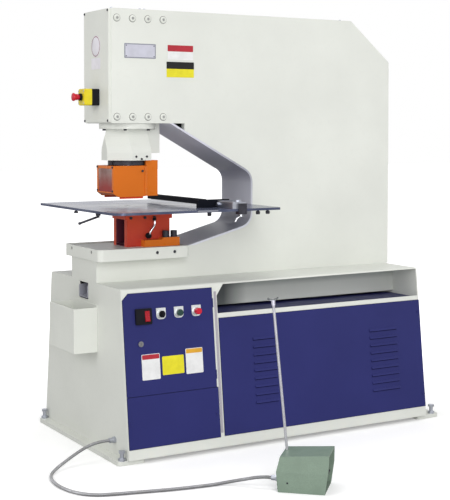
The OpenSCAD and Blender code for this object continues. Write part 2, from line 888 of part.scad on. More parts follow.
// Two cleats on the throat's face that carry the table's rear edge.
module table_brackets() {
    x1 = throat_x;
    z = table_z - table_t;
    color("slategray") for (side = [-1, 1])
        slab(side > 0 ? 56 : -86, side > 0 ? 86 : -56) polygon([
            [x1, z - 26], [x1, z], [table_x1 - 22, z], [table_x1 - 22, z - 8]
        ]);
}

module table_lever() {
    top = table_z - table_t - free_gap;
    color("dimgray") translate([table_lever_x, table_lever_y, 0]) {
        post(20, top - 10, top);
        post(12, top - 18, top - 10 + eps);
        translate([0, 0, top - 14]) rotate([0, -104, 12]) {
            post(9, 0, 92);
            translate([0, 0, 92]) sphere(d = 12);
        }
    }
}

// Bar held clear of the table by an end plate that stands on it.
module fence_bar() {
    z0 = table_z + free_gap;
    z1 = table_z + fence_h;
    x1 = fence_x + fence_t;
    color([0.15, 0.15, 0.22]) {
        difference() {
            slab(fence_near, fence_far)
                shape([[fence_x, table_z + fence_lift, 1], [x1, table_z + fence_lift, 1],
                       [x1, z1, 2], [fence_x, z1, 2]]);
            block([x1 - 5, fence_near + 60, table_z + fence_lift + 6],
                  [x1 + 1, fence_far - 40, z1 - 6]);
        }
        slab(fence_near, fence_near + fence_plate_t) shape([
            [fence_x + fence_plate[0], z0], [fence_x + fence_plate[1], z0],
            [fence_x + fence_plate[1], z1 - 3, 3], [fence_x + fence_plate[0], z1 - 3, 3]
        ]);
    }
}

// Slotted block that ties the fence's end plate to the clamp on the table's edge.
module fence_bracket() {
    z0 = table_z + free_gap;
    z1 = table_z + fence_h - 8;
    x1 = fence_x + fence_plate[1];
    y0 = -table_y - free_gap;
    color("lightsteelblue") {
        difference() {
            slab(y0, fence_near) shape([
                [bracket_x0, z0], [x1, z0], [x1, z1, 3], [bracket_x0, z1, 3]
            ]);
            block([bracket_x0 + 12, y0 + 34, z0 + 9], [bracket_x0 + 22, fence_near - 16, z1 + 1]);
        }
        translate([(bracket_x0 + x1) / 2 + 10, y0 + 22, 0]) hex_post(20, z1 - eps, z1 + 8);
        translate([bracket_x0, fence_near - 14, (z0 + z1) / 2]) rotate([0, -90, 0]) post(16, -1, 9);
    }
}

module fence_clamp() {
    y0 = -table_y - 12;
    y1 = y0 + fence_jaw;
    edge = -table_y - free_gap;
    under = table_z - table_t - free_gap;
    color("black") difference() {
        beam(fence_clamp_x, fence_clamp_x + fence_clamp_w) polygon([
            [y0, under - 12], [y1, under - 12], [y1, under], [edge, under],
            [edge, table_z + 22], [y0, table_z + 22]
        ]);
        translate([fence_pivot.x, fence_pivot.y, 0]) post(10 + 2 * run_gap, under - 13, under + 1);
    }
}

module fence_handle() {
    under = table_z - table_t - free_gap;
    bend_r = 42;
    color("silver") translate([fence_pivot.x, fence_pivot.y, 0]) {
        post(10, under - 20, under - 1);
        post(19, under - 21, under - 12 - free_gap);
        translate([0, 0, under - 19 - bend_r]) rotate([-90, 0, 200])
            rotate(-90) rotate_extrude(angle = 60) translate([bend_r, 0]) circle(d = 8);
    }
}

// ----------------------------------------------------------------- cabinet

function side_y(z) = shelf_half + (shelf_z - z) * slope;
function side_v(z) = -(shelf_z - z) / cos_lean;

// Puts children on the near side: X along the machine, Y up the sloped face
// from the shelf's edge, Z out of the face.
module on_side() {
    translate([0, -shelf_half, shelf_z]) rotate([90 - side_lean, 0, 0]) children();
}

// Outline on the side from points given as [x, height above the floor, radius].
function on_face(p) = [for (q = p) [q.x, side_v(q.y), radius(q)]];

module face_plate(p, z0, z1) {
    translate([0, 0, z0]) linear_extrude(z1 - z0) shape(on_face(p));
}

door_points = [
    [door_x0, door_z0, 3], [door_x1, door_z0, 3], [door_x1, door_z1, 3],
    [door_x0 + 25, door_z1, 3], [door_x0, door_z1 - 25, 3]
];
lower_points = box_outline(door_x0, lower_z0, door_x1 + 6, lower_z1, 3);
big_points = box_outline(big_x0, big_z0, base_back - 1, big_z1, 3);
rear_points = box_outline(60, 110, base_back - 90, shelf_z - 60, 3);
tray_points = [
    [post_x1, tray_z0, 3], [post_x1, shelf_z - 51, 4], [post_x1 + 32, shelf_z - 8, 4],
    [base_back - 6, shelf_z - 5, 2], [base_back - 6, tray_z0, 3]
];

cabinet_section = [
    [-side_y(foot_t), foot_t, 2], [side_y(foot_t), foot_t, 2],
    [shelf_half, shelf_z, 12], [-shelf_half, shelf_z, 12]
];

// Folded sheet: both sides, the shelf, the floor and the rear end wall.
module cabinet() {
    x0 = base_x0 + sheet_t;
    color("ivory") difference() {
        beam(x0, base_back) shape(cabinet_section);
        beam(x0 - 1, base_back - sheet_t) shape(grown(cabinet_section, -sheet_t));
        on_side() {
            face_plate(grown(door_points, -panel_lap), -sheet_t - 2, 2);
            face_plate(grown(lower_points, -panel_lap), -sheet_t - 2, 2);
            face_plate(grown(big_points, -panel_lap), -sheet_t - 2, 2);
            face_plate(tray_points, -sheet_t - 8, 2);
        }
        mirror([0, 1, 0]) on_side() face_plate(grown(rear_points, -panel_lap), -sheet_t - 2, 2);
        slug_window(shelf_z - sheet_t, sheet_t);
    }
}

// End wall below the nose, with the slug outlet and the conduit's hole.
module cabinet_front() {
    x1 = base_x0 + sheet_t;
    color("ivory") difference() {
        beam(base_x0, x1) shape(cabinet_section);
        block([base_x0 - 1, -chute_w / 2 - 2, outlet_z0], [x1 + 1, chute_w / 2 + 2, outlet_z1]);
        translate([base_x0 - 1, gland_y, gland_z]) rotate([0, 90, 0]) cylinder(d = 16.4, h = sheet_t + 2);
    }
}

module foot_plates() {
    color("ivory") for (i = [0, 1]) difference() {
        x0 = i == 0 ? foot_x1 - foot_len : rear_foot_x0;
        linear_extrude(foot_t)
            shape(box_outline(x0, -foot_w / 2, x0 + foot_len, foot_w / 2, 14));
        for (s = [-1, 1]) translate([level_bolt_x[i], s * level_bolt_y, 0])
            post(2 * level_bolt_r + 0.6, -1, foot_t + 1);
    }
}

module levelling_bolts() {
    color("dimgray") for (x = level_bolt_x, s = [-1, 1]) translate([x, s * level_bolt_y, 0]) {
        post(2 * level_bolt_r, 0, foot_t + level_rise);
        rotate(30 * s) hex_post(level_nut.x, foot_t, foot_t + level_nut.y);
        rotate(15) hex_post(level_head.x, foot_t + level_rise - 4,
                            foot_t + level_rise - 4 + level_head.y);
    }
}

module screw_heads(points, d) {
    for (p = points) translate([p.x, side_v(p.y), panel_face]) cylinder(d = d, h = 2.5);
}

module rear_panel() {
    x0 = 74;
    x1 = base_back - 104;
    color("midnightblue") mirror([0, 1, 0]) on_side() {
        face_plate(rear_points, panel_seat, panel_face);
        screw_heads([for (x = [x0, (x0 + x1) / 2, x1], z = [124, shelf_z - 74]) [x, z]], 12);
    }
}

// Lining of the open tool tray above the louvred panel.
module tray_lining() {
    t = 2;
    color("slategray") {
        block([post_x1 + 1, tray_back, tray_floor + 11],
              [base_back - sheet_t, tray_back + t, shelf_z - sheet_t]);
        block([post_x1 + 1, tray_back + t, shelf_z - sheet_t - 20],
              [base_back - sheet_t, tray_back + 22, shelf_z - sheet_t]);
        slab(2 - side_y(tray_floor) + sheet_t, tray_back + 40)
            square_at(post_x1 - 1, tray_floor - t, base_back - sheet_t, tray_floor);
        intersection() {
            block([post_x1 - 3, -side_y(tray_z0), tray_floor - t],
                  [post_x1 - 1, tray_back + t, shelf_z - sheet_t - 8]);
            beam(0, base_back) shape(grown(cabinet_section, -sheet_t - 1));
        }
    }
}

module square_at(x0, y0, x1, y1) {
    translate([x0, y0]) square([x1 - x0, y1 - y0]);
}

button_x = [99, 178, 257];
hinge_knuckles = [door_z0 + 50, door_z1 - 60];   // heights of the door's two hinges

module control_door() {
    rim = 10;
    inner = grown(door_points, -panel_lap - 3);
    color("midnightblue") on_side() difference() {
        union() {
            face_plate(door_points, panel_seat, panel_face);
            difference() {
                face_plate(inner, -rim, panel_seat + eps);
                face_plate(grown(inner, -2.5), -rim - 1, panel_seat);
            }
            for (z = hinge_knuckles) translate([door_x1, side_v(z), panel_face]) rotate([90, 0, 0])
                cylinder(d = 2 * panel_t - 0.2, h = 36, center = true);
        }
        for (x = button_x) translate([x, side_v(button_z), -1]) cylinder(d = 12, h = panel_face + 2);
        translate([5, side_v(456), -1]) cylinder(d = 16 + 2 * free_gap, h = panel_face + 2);
    }
}

// The lock's cam hangs down when unlocked and turns behind the door's left edge.
module door_lock() {
    color("silver") on_side() translate([5, side_v(456), 0]) difference() {
        union() {
            post(16, -16, panel_face + 2);
            post(22, panel_face + free_gap, panel_face + 4);
            translate([-8, -60, -15]) cube([16, 68, 3]);
        }
        translate([-1, -5, panel_face + 1]) cube([2, 10, 4]);
    }
}

switch_at = [20.5, 561];
rocker_tilt = -7;

module power_switch() {
    color("black") on_side() translate([switch_at.x, side_v(switch_at.y), panel_face]) difference() {
        linear_extrude(11) shape(box_outline(-34.5, -31, 34.5, 31, 4));
        block([3.5, -22.5, 3], [24.5, 22.5, 12]);
    }
}

// The rocker rests with its upper half pressed in.
module power_rocker() {
    w = 20;
    h = 20.5;
    color("red") on_side() translate([switch_at.x + 4, side_v(switch_at.y), panel_face + 7.5])
        rotate([rocker_tilt, 0, 0]) rotate([90, 0, 90]) linear_extrude(w) difference() {
            shape([
                [-h, 0], [-h, 7, 1], [0, 4.5, 60], [h, 7, 1], [h, 0], [4, -3.2], [-4, -3.2]
            ]);
            circle(d = 3);
        }
}

module button_plates() {
    w = 21;
    color("whitesmoke") on_side() for (x = button_x)
        translate([x, side_v(button_z), panel_face]) difference() {
            union() {
                linear_extrude(plate_thick)
                    shape([[-w, 24, 2], [w, 24, 2], [w, -20, 15], [-w, -20, 15]]);
                post(32, plate_thick, plate_thick + bezel_h);
            }
            post(26 + 2 * free_gap, plate_thick + 0.5, plate_thick + bezel_h + 1);
            post(12, -1, plate_thick + 1);
        }
}

// A push button's cap on its stem; the cap stands clear of the plate by its travel.
module push_cap(h) {
    z = panel_face + plate_thick + 0.5 + button_travel + free_gap;
    post(9, -24, z + 1);
    rotate_extrude() polygon(outline([[0, z], [13, z], [13, z + h, 1.6], [0, z + h]]));
}

module start_button() {
    color("green") on_side() translate([button_x[1], side_v(button_z), 0]) push_cap(12);
}

module stop_cycle_button() {
    color("red") on_side() translate([button_x[2], side_v(button_z), 0]) push_cap(20);
}

module selector_knob() {
    z = panel_face + plate_thick + 0.5 + free_gap;
    color("black") on_side() translate([button_x[0], side_v(button_z), 0]) {
        post(9, -24, z + 1);
        post(26, z, z + 12);
        translate([-4, -13, z + 11]) cube([8, 26, 9]);
    }
}

module lower_panel() {
    color("midnightblue") on_side() {
        face_plate(lower_points, panel_seat, panel_face);
        screw_heads([[door_x0 + 12, 155], [door_x1 - 4, 155]], 14);
    }
}

// One pressed louvre: a sloped lip over a slot, closed at its ends.
module louvre(l) {
    lip = 7;
    rise = 10;
    skin = 1.6;
    rotate([90, 0, 90]) {
        linear_extrude(l) polygon([[rise, 0], [rise, skin / 2], [0, lip], [0, lip - skin], [rise - 2.6, 0]]);
        for (x = [0, l - skin]) translate([0, 0, x])
            linear_extrude(skin) polygon([[rise, 0], [0, lip], [0, 0]]);
    }
}

louvre_columns = [[514, 111, 428], [1108, 148, 411]];   // start, length, top row height

module at_louvres() {
    for (c = louvre_columns, i = [0:louvre_rows - 1])
        translate([c[0], side_v(c[2] - i * louvre_pitch), 0]) {
            $louvre_l = c[1];
            children();
        }
}

module louvred_panel() {
    color("midnightblue") on_side() {
        difference() {
            face_plate(big_points, panel_seat, panel_face);
            at_louvres() translate([2, 0, -1]) cube([$louvre_l - 4, 7, panel_face + 2]);
        }
        at_louvres() translate([0, 0, panel_face]) louvre($louvre_l);
        screw_heads([[big_x0 + 7, 468], [big_x0 + 9, 115], [base_back - 10, 476], [base_back - 9, 116]], 14);
    }
}

// ------------------------------------------------------------- slug removal

module slug_chute() {
    top = jaw_z - 30;
    w = chute_w / 2;
    x0 = base_x0 - 3;
    x1 = ram_x - 100;
    x2 = ram_x + 66;
    low = outlet_z0 + 5;
    bend = low + 18;
    high = low + 100;
    color("slategray") difference() {
        slab(-w, w) polygon([
            [x0, low], [x1, bend], [x2, high], [x2, top], [x1, top], [x1, bend + 46], [x0, low + 48]
        ]);
        slab(chute_t - w, w - chute_t) polygon([
            [x0 - 1, low + chute_t], [x1, bend + chute_t], [x2 - chute_t, high + chute_t],
            [x2 - chute_t, top + 1], [x1 + chute_t, top + 1], [x1 + chute_t, high],
            [0, low + 80], [x0 - 1, low + 80]
        ]);
    }
}

module slug_bin() {
    x1 = base_x0;
    x0 = x1 - bin_l;
    z0 = bin_z1 - bin_h;
    y = bin_w / 2;
    color("ivory") translate([0, bin_y, 0]) difference() {
        slab(-y, y) shape([
            [x0 + 1, z0, 3], [x1, z0, 3], [x1, bin_z1 + bin_hook_h],
            [x1 - bin_wall, bin_z1 + bin_hook_h], [x1 - bin_wall, bin_z1], [x0, bin_z1, 2]
        ]);
        slab(bin_wall - y, y - bin_wall) polygon([
            [x0 + 1 + bin_wall, z0 + bin_wall], [x1 - bin_wall, z0 + bin_wall],
            [x1 - bin_wall, bin_z1 + 1], [x0 + bin_wall, bin_z1 + 1]
        ]);
    }
}

// ---------------------------------------------------------- hydraulic power

tank_x = [base_back - 694, base_back - 104];
tank_y = [-150, 210];
tank_top = 300;
tank_lip = 12;
tank_neck = [70, 60];                        // filler neck from the tank's corner
neck_d = 60;
neck_bore = 44;
neck_h = 30;
motor_at = [tank_x[1] - 160, tank_y[0] + 190, 0];
motor_d = 180;
motor_h = 290;
motor_cap = 50;
valve_in = [150, 110];                       // valve block from the tank's corner
valve_at = [tank_x[0] + valve_in.x, tank_y[0] + valve_in.y, tank_top];
valve_size = [110, 100, 90];
valve_pitch = 55;
coil_d = 36;
gear_x = [-20, 290];
gear_y = -150;
gear_z0 = 300;
gear_rows = [[342, 76, 70, 4, 58], [450, 78, 55, 6, 40]];   // foot, height, depth, count, pitch

module oil_tank() {
    floor_z = foot_t + sheet_t;
    skin = 4;
    lid = 6;
    fill = [tank_x[0] + tank_neck.x, tank_y[0] + tank_neck.y, 0];
    color("steelblue") difference() {
        union() {
            block([tank_x[0], tank_y[0], floor_z], [tank_x[1], tank_y[1], tank_top - lid]);
            block([tank_x[0] - tank_lip, tank_y[0] - tank_lip, tank_top - lid],
                  [tank_x[1] + tank_lip, tank_y[1] + tank_lip, tank_top]);
            translate(fill) post(neck_d, tank_top - 1, tank_top + neck_h);
        }
        block([tank_x[0] + skin, tank_y[0] + skin, floor_z + skin],
              [tank_x[1] - skin, tank_y[1] - skin, tank_top - lid]);
        translate(fill) post(neck_bore, tank_top - lid - 1, tank_top + neck_h + 1);
    }
}

// Upright motor and the valve block beside it, both on the tank's lid.
module pump_set() {
    base = 14;
    top = tank_top + motor_h;
    fin_h = motor_h - motor_cap - 60;
    color("gray") translate(motor_at) {
        post(motor_d + 20, tank_top, tank_top + base);
        difference() {
            post(motor_d, tank_top + base - 1, top - motor_cap);
            for (a = [0:15:359]) rotate(a) translate([motor_d / 2 - 8, -2.5, tank_top + 40])
                cube([12, 5, fin_h]);
        }
        post(motor_d + 4, top - motor_cap, top);
        translate([-motor_d / 4, -motor_d / 2 - 38, tank_top + 110]) cube([motor_d / 2, 50, 80]);
    }
    color("silver") translate(valve_at) {
        cube(valve_size);
        for (i = [0, 1]) translate([25 + i * valve_pitch, valve_size.y / 2, valve_size.z - 1]) {
            translate([-20, -25, 0]) cube([40, 50, 46]);
            translate([0, -75, 23]) rotate([-90, 0, 0]) cylinder(d = coil_d, h = 51);
        }
    }
}

module electrical_plate() {
    z1 = shelf_z - sheet_t;
    color("lightgray") {
        block([gear_x[0], gear_y, gear_z0], [gear_x[1], gear_y + 3, z1]);
        for (r = gear_rows) {
            block([gear_x[0] + 15, gear_y - 8, r[0] + 18], [gear_x[1] - 15, gear_y + eps, r[0] + 53]);
            for (i = [0:r[3] - 1])
                block([gear_x[0] + 25 + i * r[4], gear_y - r[2], r[0]],
                      [gear_x[0] + 25 + i * r[4] + 0.8 * r[4], gear_y - 7, r[0] + r[1]]);
        }
    }
}

// ------------------------------------------------------ conduit, foot switch

module conduit_gland() {
    color("silver") translate([base_x0, gland_y, gland_z]) rotate([0, -90, 0]) {
        post(16, -sheet_t - 6, 1);
        hex_post(26, 0, 10);
        post(20, 10, gland_l);
    }
}

function spline(p, k) = concat([
    for (i = [0:len(p) - 2], j = [0:k - 1])
        let (
            t = j / k,
            a = p[max(i - 1, 0)],
            b = p[i],
            c = p[i + 1],
            d = p[min(i + 2, len(p) - 1)]
        )
        (2 * b + (c - a) * t + (2 * a - 5 * b + 4 * c - d) * t * t + (3 * b - a - 3 * c + d) * t * t * t) / 2
], [p[len(p) - 1]]);

// A tube swept along points that never run straight up.
module swept_tube(p, d, sides) {
    n = len(p);
    rings = [
        for (i = [0:n - 1])
            let (
                t = unit(p[min(i + 1, n - 1)] - p[max(i - 1, 0)]),
                s = unit(cross(t, [0, 0, 1])),
                u = cross(s, t)
            )
            for (k = [0:sides - 1])
                p[i] + (s * cos(k * 360 / sides) + u * sin(k * 360 / sides)) * d / 2
    ];
    walls = [
        for (i = [0:n - 2], k = [0:sides - 1])
            let (a = i * sides + k, b = i * sides + (k + 1) % sides)
            [a, a + sides, b + sides, b]
    ];
    ends = [[for (k = [0:sides - 1]) k], [for (k = [sides - 1:-1:0]) (n - 1) * sides + k]];
    polyhedron(rings, concat(walls, ends), convexity = 6);
}

module conduit() {
    color("gray") swept_tube(spline(conduit_route, 3), conduit_d, 10);
}

// The foot switch's own axes: X from its back to its open end, Y across, Z up.
module at_pedal() {
    translate(pedal_at) rotate(pedal_turn) children();
}

module switch_connector() {
    color("silver") at_pedal() translate([connector_a, connector_b, connector_z]) rotate([0, -90, 0]) {
        post(14, -10, 1);
        hex_post(24, 0, 9);
        post(19, 9, connector_l);
    }
}

fold_z = 72;                                 // the hood's walls lean inwards above this
lean_in = 9;
back_in = 6;

function hood_side(d) = [
    [d, d], [d - 7, fold_z], [back_in + d, pedal_h - 12 - d], [pedal_l + 14, pedal_h - d],
    [pedal_l + 12, fold_z + 10], [pedal_l, d]
];

function hood_end(d) = [
    [d, 0], [d, fold_z], [lean_in + d, pedal_h + 1], [pedal_w - lean_in - d, pedal_h + 1],
    [pedal_w - d, fold_z], [pedal_w - d, 0]
];

module switch_hood() {
    boss_d = 20;
    color("darkseagreen") at_pedal() {
        difference() {
            intersection() {
                slab(0, pedal_w) polygon(hood_side(0));
                beam(-20, pedal_l + 20) polygon(hood_end(0));
            }
            intersection() {
                slab(0, pedal_w) polygon([
                    [pedal_wall, pedal_wall + 2], [pedal_wall - 7, fold_z],
                    [back_in + pedal_wall, pedal_h - 16], [pedal_l + 30, pedal_h - 3],
                    [pedal_l + 30, pedal_wall + 2]
                ]);
                beam(-20, pedal_l + 40) polygon(hood_end(pedal_wall));
                difference() {
                    block([-40, 0, 0], [pedal_l + 60, pedal_w, pedal_h]);
                    translate([rod_a, rod_b, 0]) post(boss_d, fold_z + 8, pedal_h);
                }
            }
            rod_path() post(rod_d + 0.2, -16, 60);
            translate([treadle_a, pedal_w + 1, treadle_z]) rotate([90, 0, 0])
                post(treadle_pin_d + 2 * run_gap, 0, pedal_w + 2);
            translate([-12, connector_b, connector_z]) rotate([0, 90, 0]) cylinder(d = 14.1, h = 24);
        }
    }
}

// Local Z runs up the carrying rod from the hood's top.
module rod_path() {
    translate([rod_a, rod_b, pedal_h - 8]) rotate([0, -rod_lean, 0]) children();
}

module carry_rod() {
    handle_r = 26;
    color("silver") at_pedal() rod_path() {
        post(rod_d, -15, rod_len);
        post(14, rod_len - 22, rod_len);
        translate([0, 0, rod_len + handle_r - 3]) rotate([90, 0, 20]) rotate([0, 0, 222])
            rotate_extrude(angle = 96) translate([handle_r, 0]) circle(d = 7);
    }
}

module treadle() {
    w = pedal_w - 2 * pedal_wall - 24;
    t = 6;
    color("dimgray") at_pedal() translate([treadle_a, (pedal_w - w) / 2, treadle_z]) {
        difference() {
            union() {
                slab(0, w) shape([
                    [-2, -5], [12, -5], [12, 0], [pedal_l - 40, 14], [pedal_l - 36, 12, 1],
                    [pedal_l - 34, 17, 1], [pedal_l - 42, 14 + t], [0, t]
                ]);
                translate([0, w, 0]) rotate([90, 0, 0]) post(14, 0, w);
            }
            for (i = [0:6]) block([52 + i * 11, 12, 4], [55 + i * 11, w - 12, 30]);
        }
        translate([0, (w + pedal_w) / 2 - 0.5, 0]) rotate([90, 0, 0])
            post(treadle_pin_d, 0, pedal_w - 1);
    }
}

frame_plate_near();
frame_plate_far();
frame_wrapper();
frame_webs();
throat_liner();
frame_bolts();
head_cover();
stop_base();
stop_lid();
stop_button();
hydraulic_cylinder();
guide_casting();
locking_ring();
ram();
punch_nut();
punch();
rear_block();
guard_arm();
stripper_guard();
guard_window();
bed_plate();
die_holder();
die();
holder_clamp();
clamp_screws();
holder_lever();
gauge_table();
table_brackets();
table_lever();
fence_bar();
fence_bracket();
fence_clamp();
fence_handle();
foot_plates();
cabinet();
cabinet_front();
rear_panel();
tray_lining();
control_door();
door_lock();
power_switch();
power_rocker();
button_plates();
selector_knob();
start_button();
stop_cycle_button();
lower_panel();
louvred_panel();
levelling_bolts();
slug_chute();
slug_bin();
oil_tank();
pump_set();
electrical_plate();
conduit_gland();
conduit();
switch_connector();
switch_hood();
treadle();
carry_rod();
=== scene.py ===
import json
import math

import bmesh
import bpy
from mathutils import Matrix, Vector


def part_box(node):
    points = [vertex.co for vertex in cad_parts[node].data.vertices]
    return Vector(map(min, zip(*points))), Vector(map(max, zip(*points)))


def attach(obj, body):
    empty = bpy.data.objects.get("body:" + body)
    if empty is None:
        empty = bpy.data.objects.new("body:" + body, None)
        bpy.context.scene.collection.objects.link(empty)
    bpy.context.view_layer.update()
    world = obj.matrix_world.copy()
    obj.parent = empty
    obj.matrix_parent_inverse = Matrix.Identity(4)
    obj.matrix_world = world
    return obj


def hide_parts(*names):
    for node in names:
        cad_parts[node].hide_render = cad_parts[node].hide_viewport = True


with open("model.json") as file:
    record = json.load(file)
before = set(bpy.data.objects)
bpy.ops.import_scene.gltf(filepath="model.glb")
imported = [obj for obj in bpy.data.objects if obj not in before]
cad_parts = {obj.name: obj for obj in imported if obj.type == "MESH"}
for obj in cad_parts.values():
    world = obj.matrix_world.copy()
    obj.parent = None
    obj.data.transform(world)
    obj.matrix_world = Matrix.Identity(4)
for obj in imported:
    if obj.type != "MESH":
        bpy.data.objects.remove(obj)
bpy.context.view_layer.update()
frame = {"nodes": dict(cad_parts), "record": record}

NODES = frame["nodes"]

# Lengths are in metres, but for ROUTE and HANDLE_ROUTE, which are in millimetres.


def facing_near(y):
    """An upright face that looks along -y: local x is x, local y is height, local z is outwards."""
    return Matrix(((1, 0, 0, 0), (0, 0, -1, y), (0, 1, 0, 0), (0, 0, 0, 1)))


def facing_front(x):
    """An upright face that looks along -x: local x is y, local y is height, local z is outwards."""
    return Matrix(((0, 0, -1, x), (1, 0, 0, 0), (0, 1, 0, 0), (0, 0, 0, 1)))


NEAR = facing_near(-0.125)
TABLE_EDGE = facing_near(-0.392)
COVER_FACE_X = -0.0111
COVER_FACE = facing_front(COVER_FACE_X)

# The cabinet's near side leans out from its top edge: x along it, y up the slope, z outwards.
LEAN = math.radians(6.334)
SIDE_TOP_Y = -0.350
SIDE_TOP_Z = 0.671
SIDE = Matrix((
    (1, 0, 0, 0),
    (0, math.sin(LEAN), -math.cos(LEAN), SIDE_TOP_Y),
    (0, math.cos(LEAN), math.sin(LEAN), SIDE_TOP_Z),
    (0, 0, 0, 1),
))
# How far the door and the louvred panel stand out from the side.
DOOR_FACE = 0.0032
PANEL_FACE = 0.0032

# The foot switch's place on the floor, and its turn.
PEDAL = Matrix.Translation((0.246, -0.984, 0)) @ Matrix.Rotation(math.radians(-43.4), 4, "Z")

# Below this height the guard's paint turns redder with painted shade under its lip; between these x the
# painted shadow in the tray's corner by the post fades out.
GUARD_SHADE_LEVEL = 1.012
TRAY_PAINTED_SHADOW = (0.49, 0.6)

# Outlines on the leaning side, as x and height.
DOOR_OUTLINE = (
    (-0.064, 0.258), (0.334, 0.258), (0.334, 0.652), (-0.039, 0.652), (-0.064, 0.627),
)
LOWER_OUTLINE = ((-0.064, 0.059), (0.34, 0.059), (0.34, 0.256), (-0.064, 0.256))
BIG_OUTLINE = ((0.36, 0.061), (1.393, 0.061), (1.393, 0.528), (0.36, 0.528))


def side_v(z):
    """Place up the leaning side of a height."""
    return -(SIDE_TOP_Z - z) / math.cos(LEAN)


# ------------------------------------------------------------------- camera

# The photograph's viewing angle, fitted to the corners of the frame and the cabinet.
camera_data = bpy.data.cameras.new("camera")
camera_data.lens = 85.7
camera_data.sensor_width = 36
camera_data.sensor_fit = "AUTO"
camera_data.shift_y = -0.158
camera_data.clip_end = 200
camera = bpy.data.objects.new("camera", camera_data)
bpy.context.scene.collection.objects.link(camera)
camera.location = (-2.0328, -4.5075, 1.2898)
yaw, down = math.radians(30.33), math.radians(2.0)
forward = Vector((math.sin(yaw) * math.cos(down), math.cos(yaw) * math.cos(down), -math.sin(down)))
camera.rotation_mode = "QUATERNION"
camera.rotation_quaternion = forward.to_track_quat("-Z", "Y")
bpy.context.scene.camera = camera


# ---------------------------------------------------------------- materials

class Nodes:
    """A small helper that wires one material's nodes."""

    def __init__(self, name):
        self.material = bpy.data.materials.new(name)
        self.material.use_nodes = True
        self.tree = self.material.node_tree
        self.tree.nodes.clear()
        self.out = self.add("ShaderNodeOutputMaterial")
        self.bsdf = self.add("ShaderNodeBsdfPrincipled")
        self.link(self.bsdf.outputs[0], self.out.inputs[0])
        self.coords = self.add("ShaderNodeTexCoord").outputs["Object"]

    def add(self, kind, **values):
        n = self.tree.nodes.new(kind)
        for k, v in values.items():
            setattr(n, k, v)
        return n

    def link(self, a, b):
        self.tree.links.new(a, b)

    def set(self, **values):
        names = {"rough": "Roughness", "metal": "Metallic", "ior": "IOR",
                 "spec": "Specular IOR Level", "trans": "Transmission Weight"}
        for k, v in values.items():
            self.bsdf.inputs[names[k]].default_value = v

    def xyz(self):
        """The object's own coordinates, one socket each."""
        split = self.add("ShaderNodeSeparateXYZ")
        self.link(self.coords, split.inputs[0])
        return split.outputs

    def mapped(self, scale):
        m = self.add("ShaderNodeMapping")
        m.inputs["Scale"].default_value = scale
        self.link(self.coords, m.inputs["Vector"])
        return m.outputs[0]

    def noise(self, scale, detail, rough=0.5, vector=None):
        n = self.add("ShaderNodeTexNoise")
        n.inputs["Scale"].default_value = scale
        n.inputs["Detail"].default_value = detail
        n.inputs["Roughness"].default_value = rough
        self.link(vector or self.coords, n.inputs["Vector"])
        return n.outputs[0]

    def ramp(self, value, low, high, a=0.0, b=1.0):
        m = self.add("ShaderNodeMapRange")
        for i, v in zip(("From Min", "From Max", "To Min", "To Max"), (low, high, a, b)):
            m.inputs[i].default_value = v
        self.link(value, m.inputs["Value"])
        return m.outputs[0]

    def mix(self, a, b, factor):
        m = self.add("ShaderNodeMix", data_type="RGBA")
        for socket, v in ((m.inputs[6], a), (m.inputs[7], b), (m.inputs[0], factor)):
            if isinstance(v, (tuple, list)):
                socket.default_value = (*v[:3], 1)
            elif isinstance(v, (int, float)):
                socket.default_value = v
            else:
                self.link(v, socket)
        return m.outputs[2]

    def math(self, kind, a, b=None):
        m = self.add("ShaderNodeMath", operation=kind)
        for socket, v in ((m.inputs[0], a), (m.inputs[1], b)):
            if v is None:
                continue
            if isinstance(v, (int, float)):
                socket.default_value = v
            else:
                self.link(v, socket)
        return m.outputs[0]

    def edges(self, radius):
        """0 on a flat face, 1 close to an outer edge."""
        bevel = self.add("ShaderNodeBevel", samples=4)
        bevel.inputs[0].default_value = radius
        geo = self.add("ShaderNodeNewGeometry")
        dot = self.add("ShaderNodeVectorMath", operation="DOT_PRODUCT")
        self.link(bevel.outputs[0], dot.inputs[0])
        self.link(geo.outputs["Normal"], dot.inputs[1])
        return self.ramp(dot.outputs["Value"], 0.99, 0.8)

    def bump(self, height, distance, soft_edge=0.0):
        b = self.add("ShaderNodeBump")
        b.inputs["Distance"].default_value = distance
        b.inputs["Strength"].default_value = 1.0
        self.link(height, b.inputs["Height"])
        if soft_edge:
            bevel = self.add("ShaderNodeBevel", samples=4)
            bevel.inputs[0].default_value = soft_edge
            self.link(bevel.outputs[0], b.inputs["Normal"])
        self.link(b.outputs[0], self.bsdf.inputs["Normal"])

    def colour(self, socket):
        self.link(socket, self.bsdf.inputs["Base Color"])

    def roughness(self, value, low, high):
        self.link(self.ramp(value, 0.3, 0.7, low, high), self.bsdf.inputs["Roughness"])


def shade(c, k):
    """A colour times k, held at 1."""
    return tuple(min(1.0, v * k) for v in c)


def paint(name, base, rough, wear=None, peel=0.00006, dust=0.05, wear_amount=0.5, spec=0.3):
    """Sprayed enamel: slight cloudiness, orange peel, rubbed edges."""
    n = Nodes(name)
    cloud = n.noise(2.3, 4)
    fine = n.noise(60, 3, 0.6)
    c = n.mix(shade(base, 1 - dust), shade(base, 1 + dust * 0.6), n.ramp(cloud, 0.35, 0.65))
    c = n.mix(c, shade(base, 0.93), n.math("MULTIPLY", n.ramp(fine, 0.55, 0.8), 0.35))
    edge = n.edges(0.0016)
    broken = n.ramp(n.noise(38, 5, 0.65), 0.48, 0.62)
    amount = n.math("MULTIPLY", n.math("MULTIPLY", edge, broken), wear_amount)
    c = n.mix(c, wear or shade(base, 0.8), amount)
    n.colour(c)
    n.roughness(fine, rough - 0.05, rough + 0.08)
    n.set(spec=spec)
    n.bump(n.noise(520, 2, 0.5), peel, 0.0012)
    return n.material


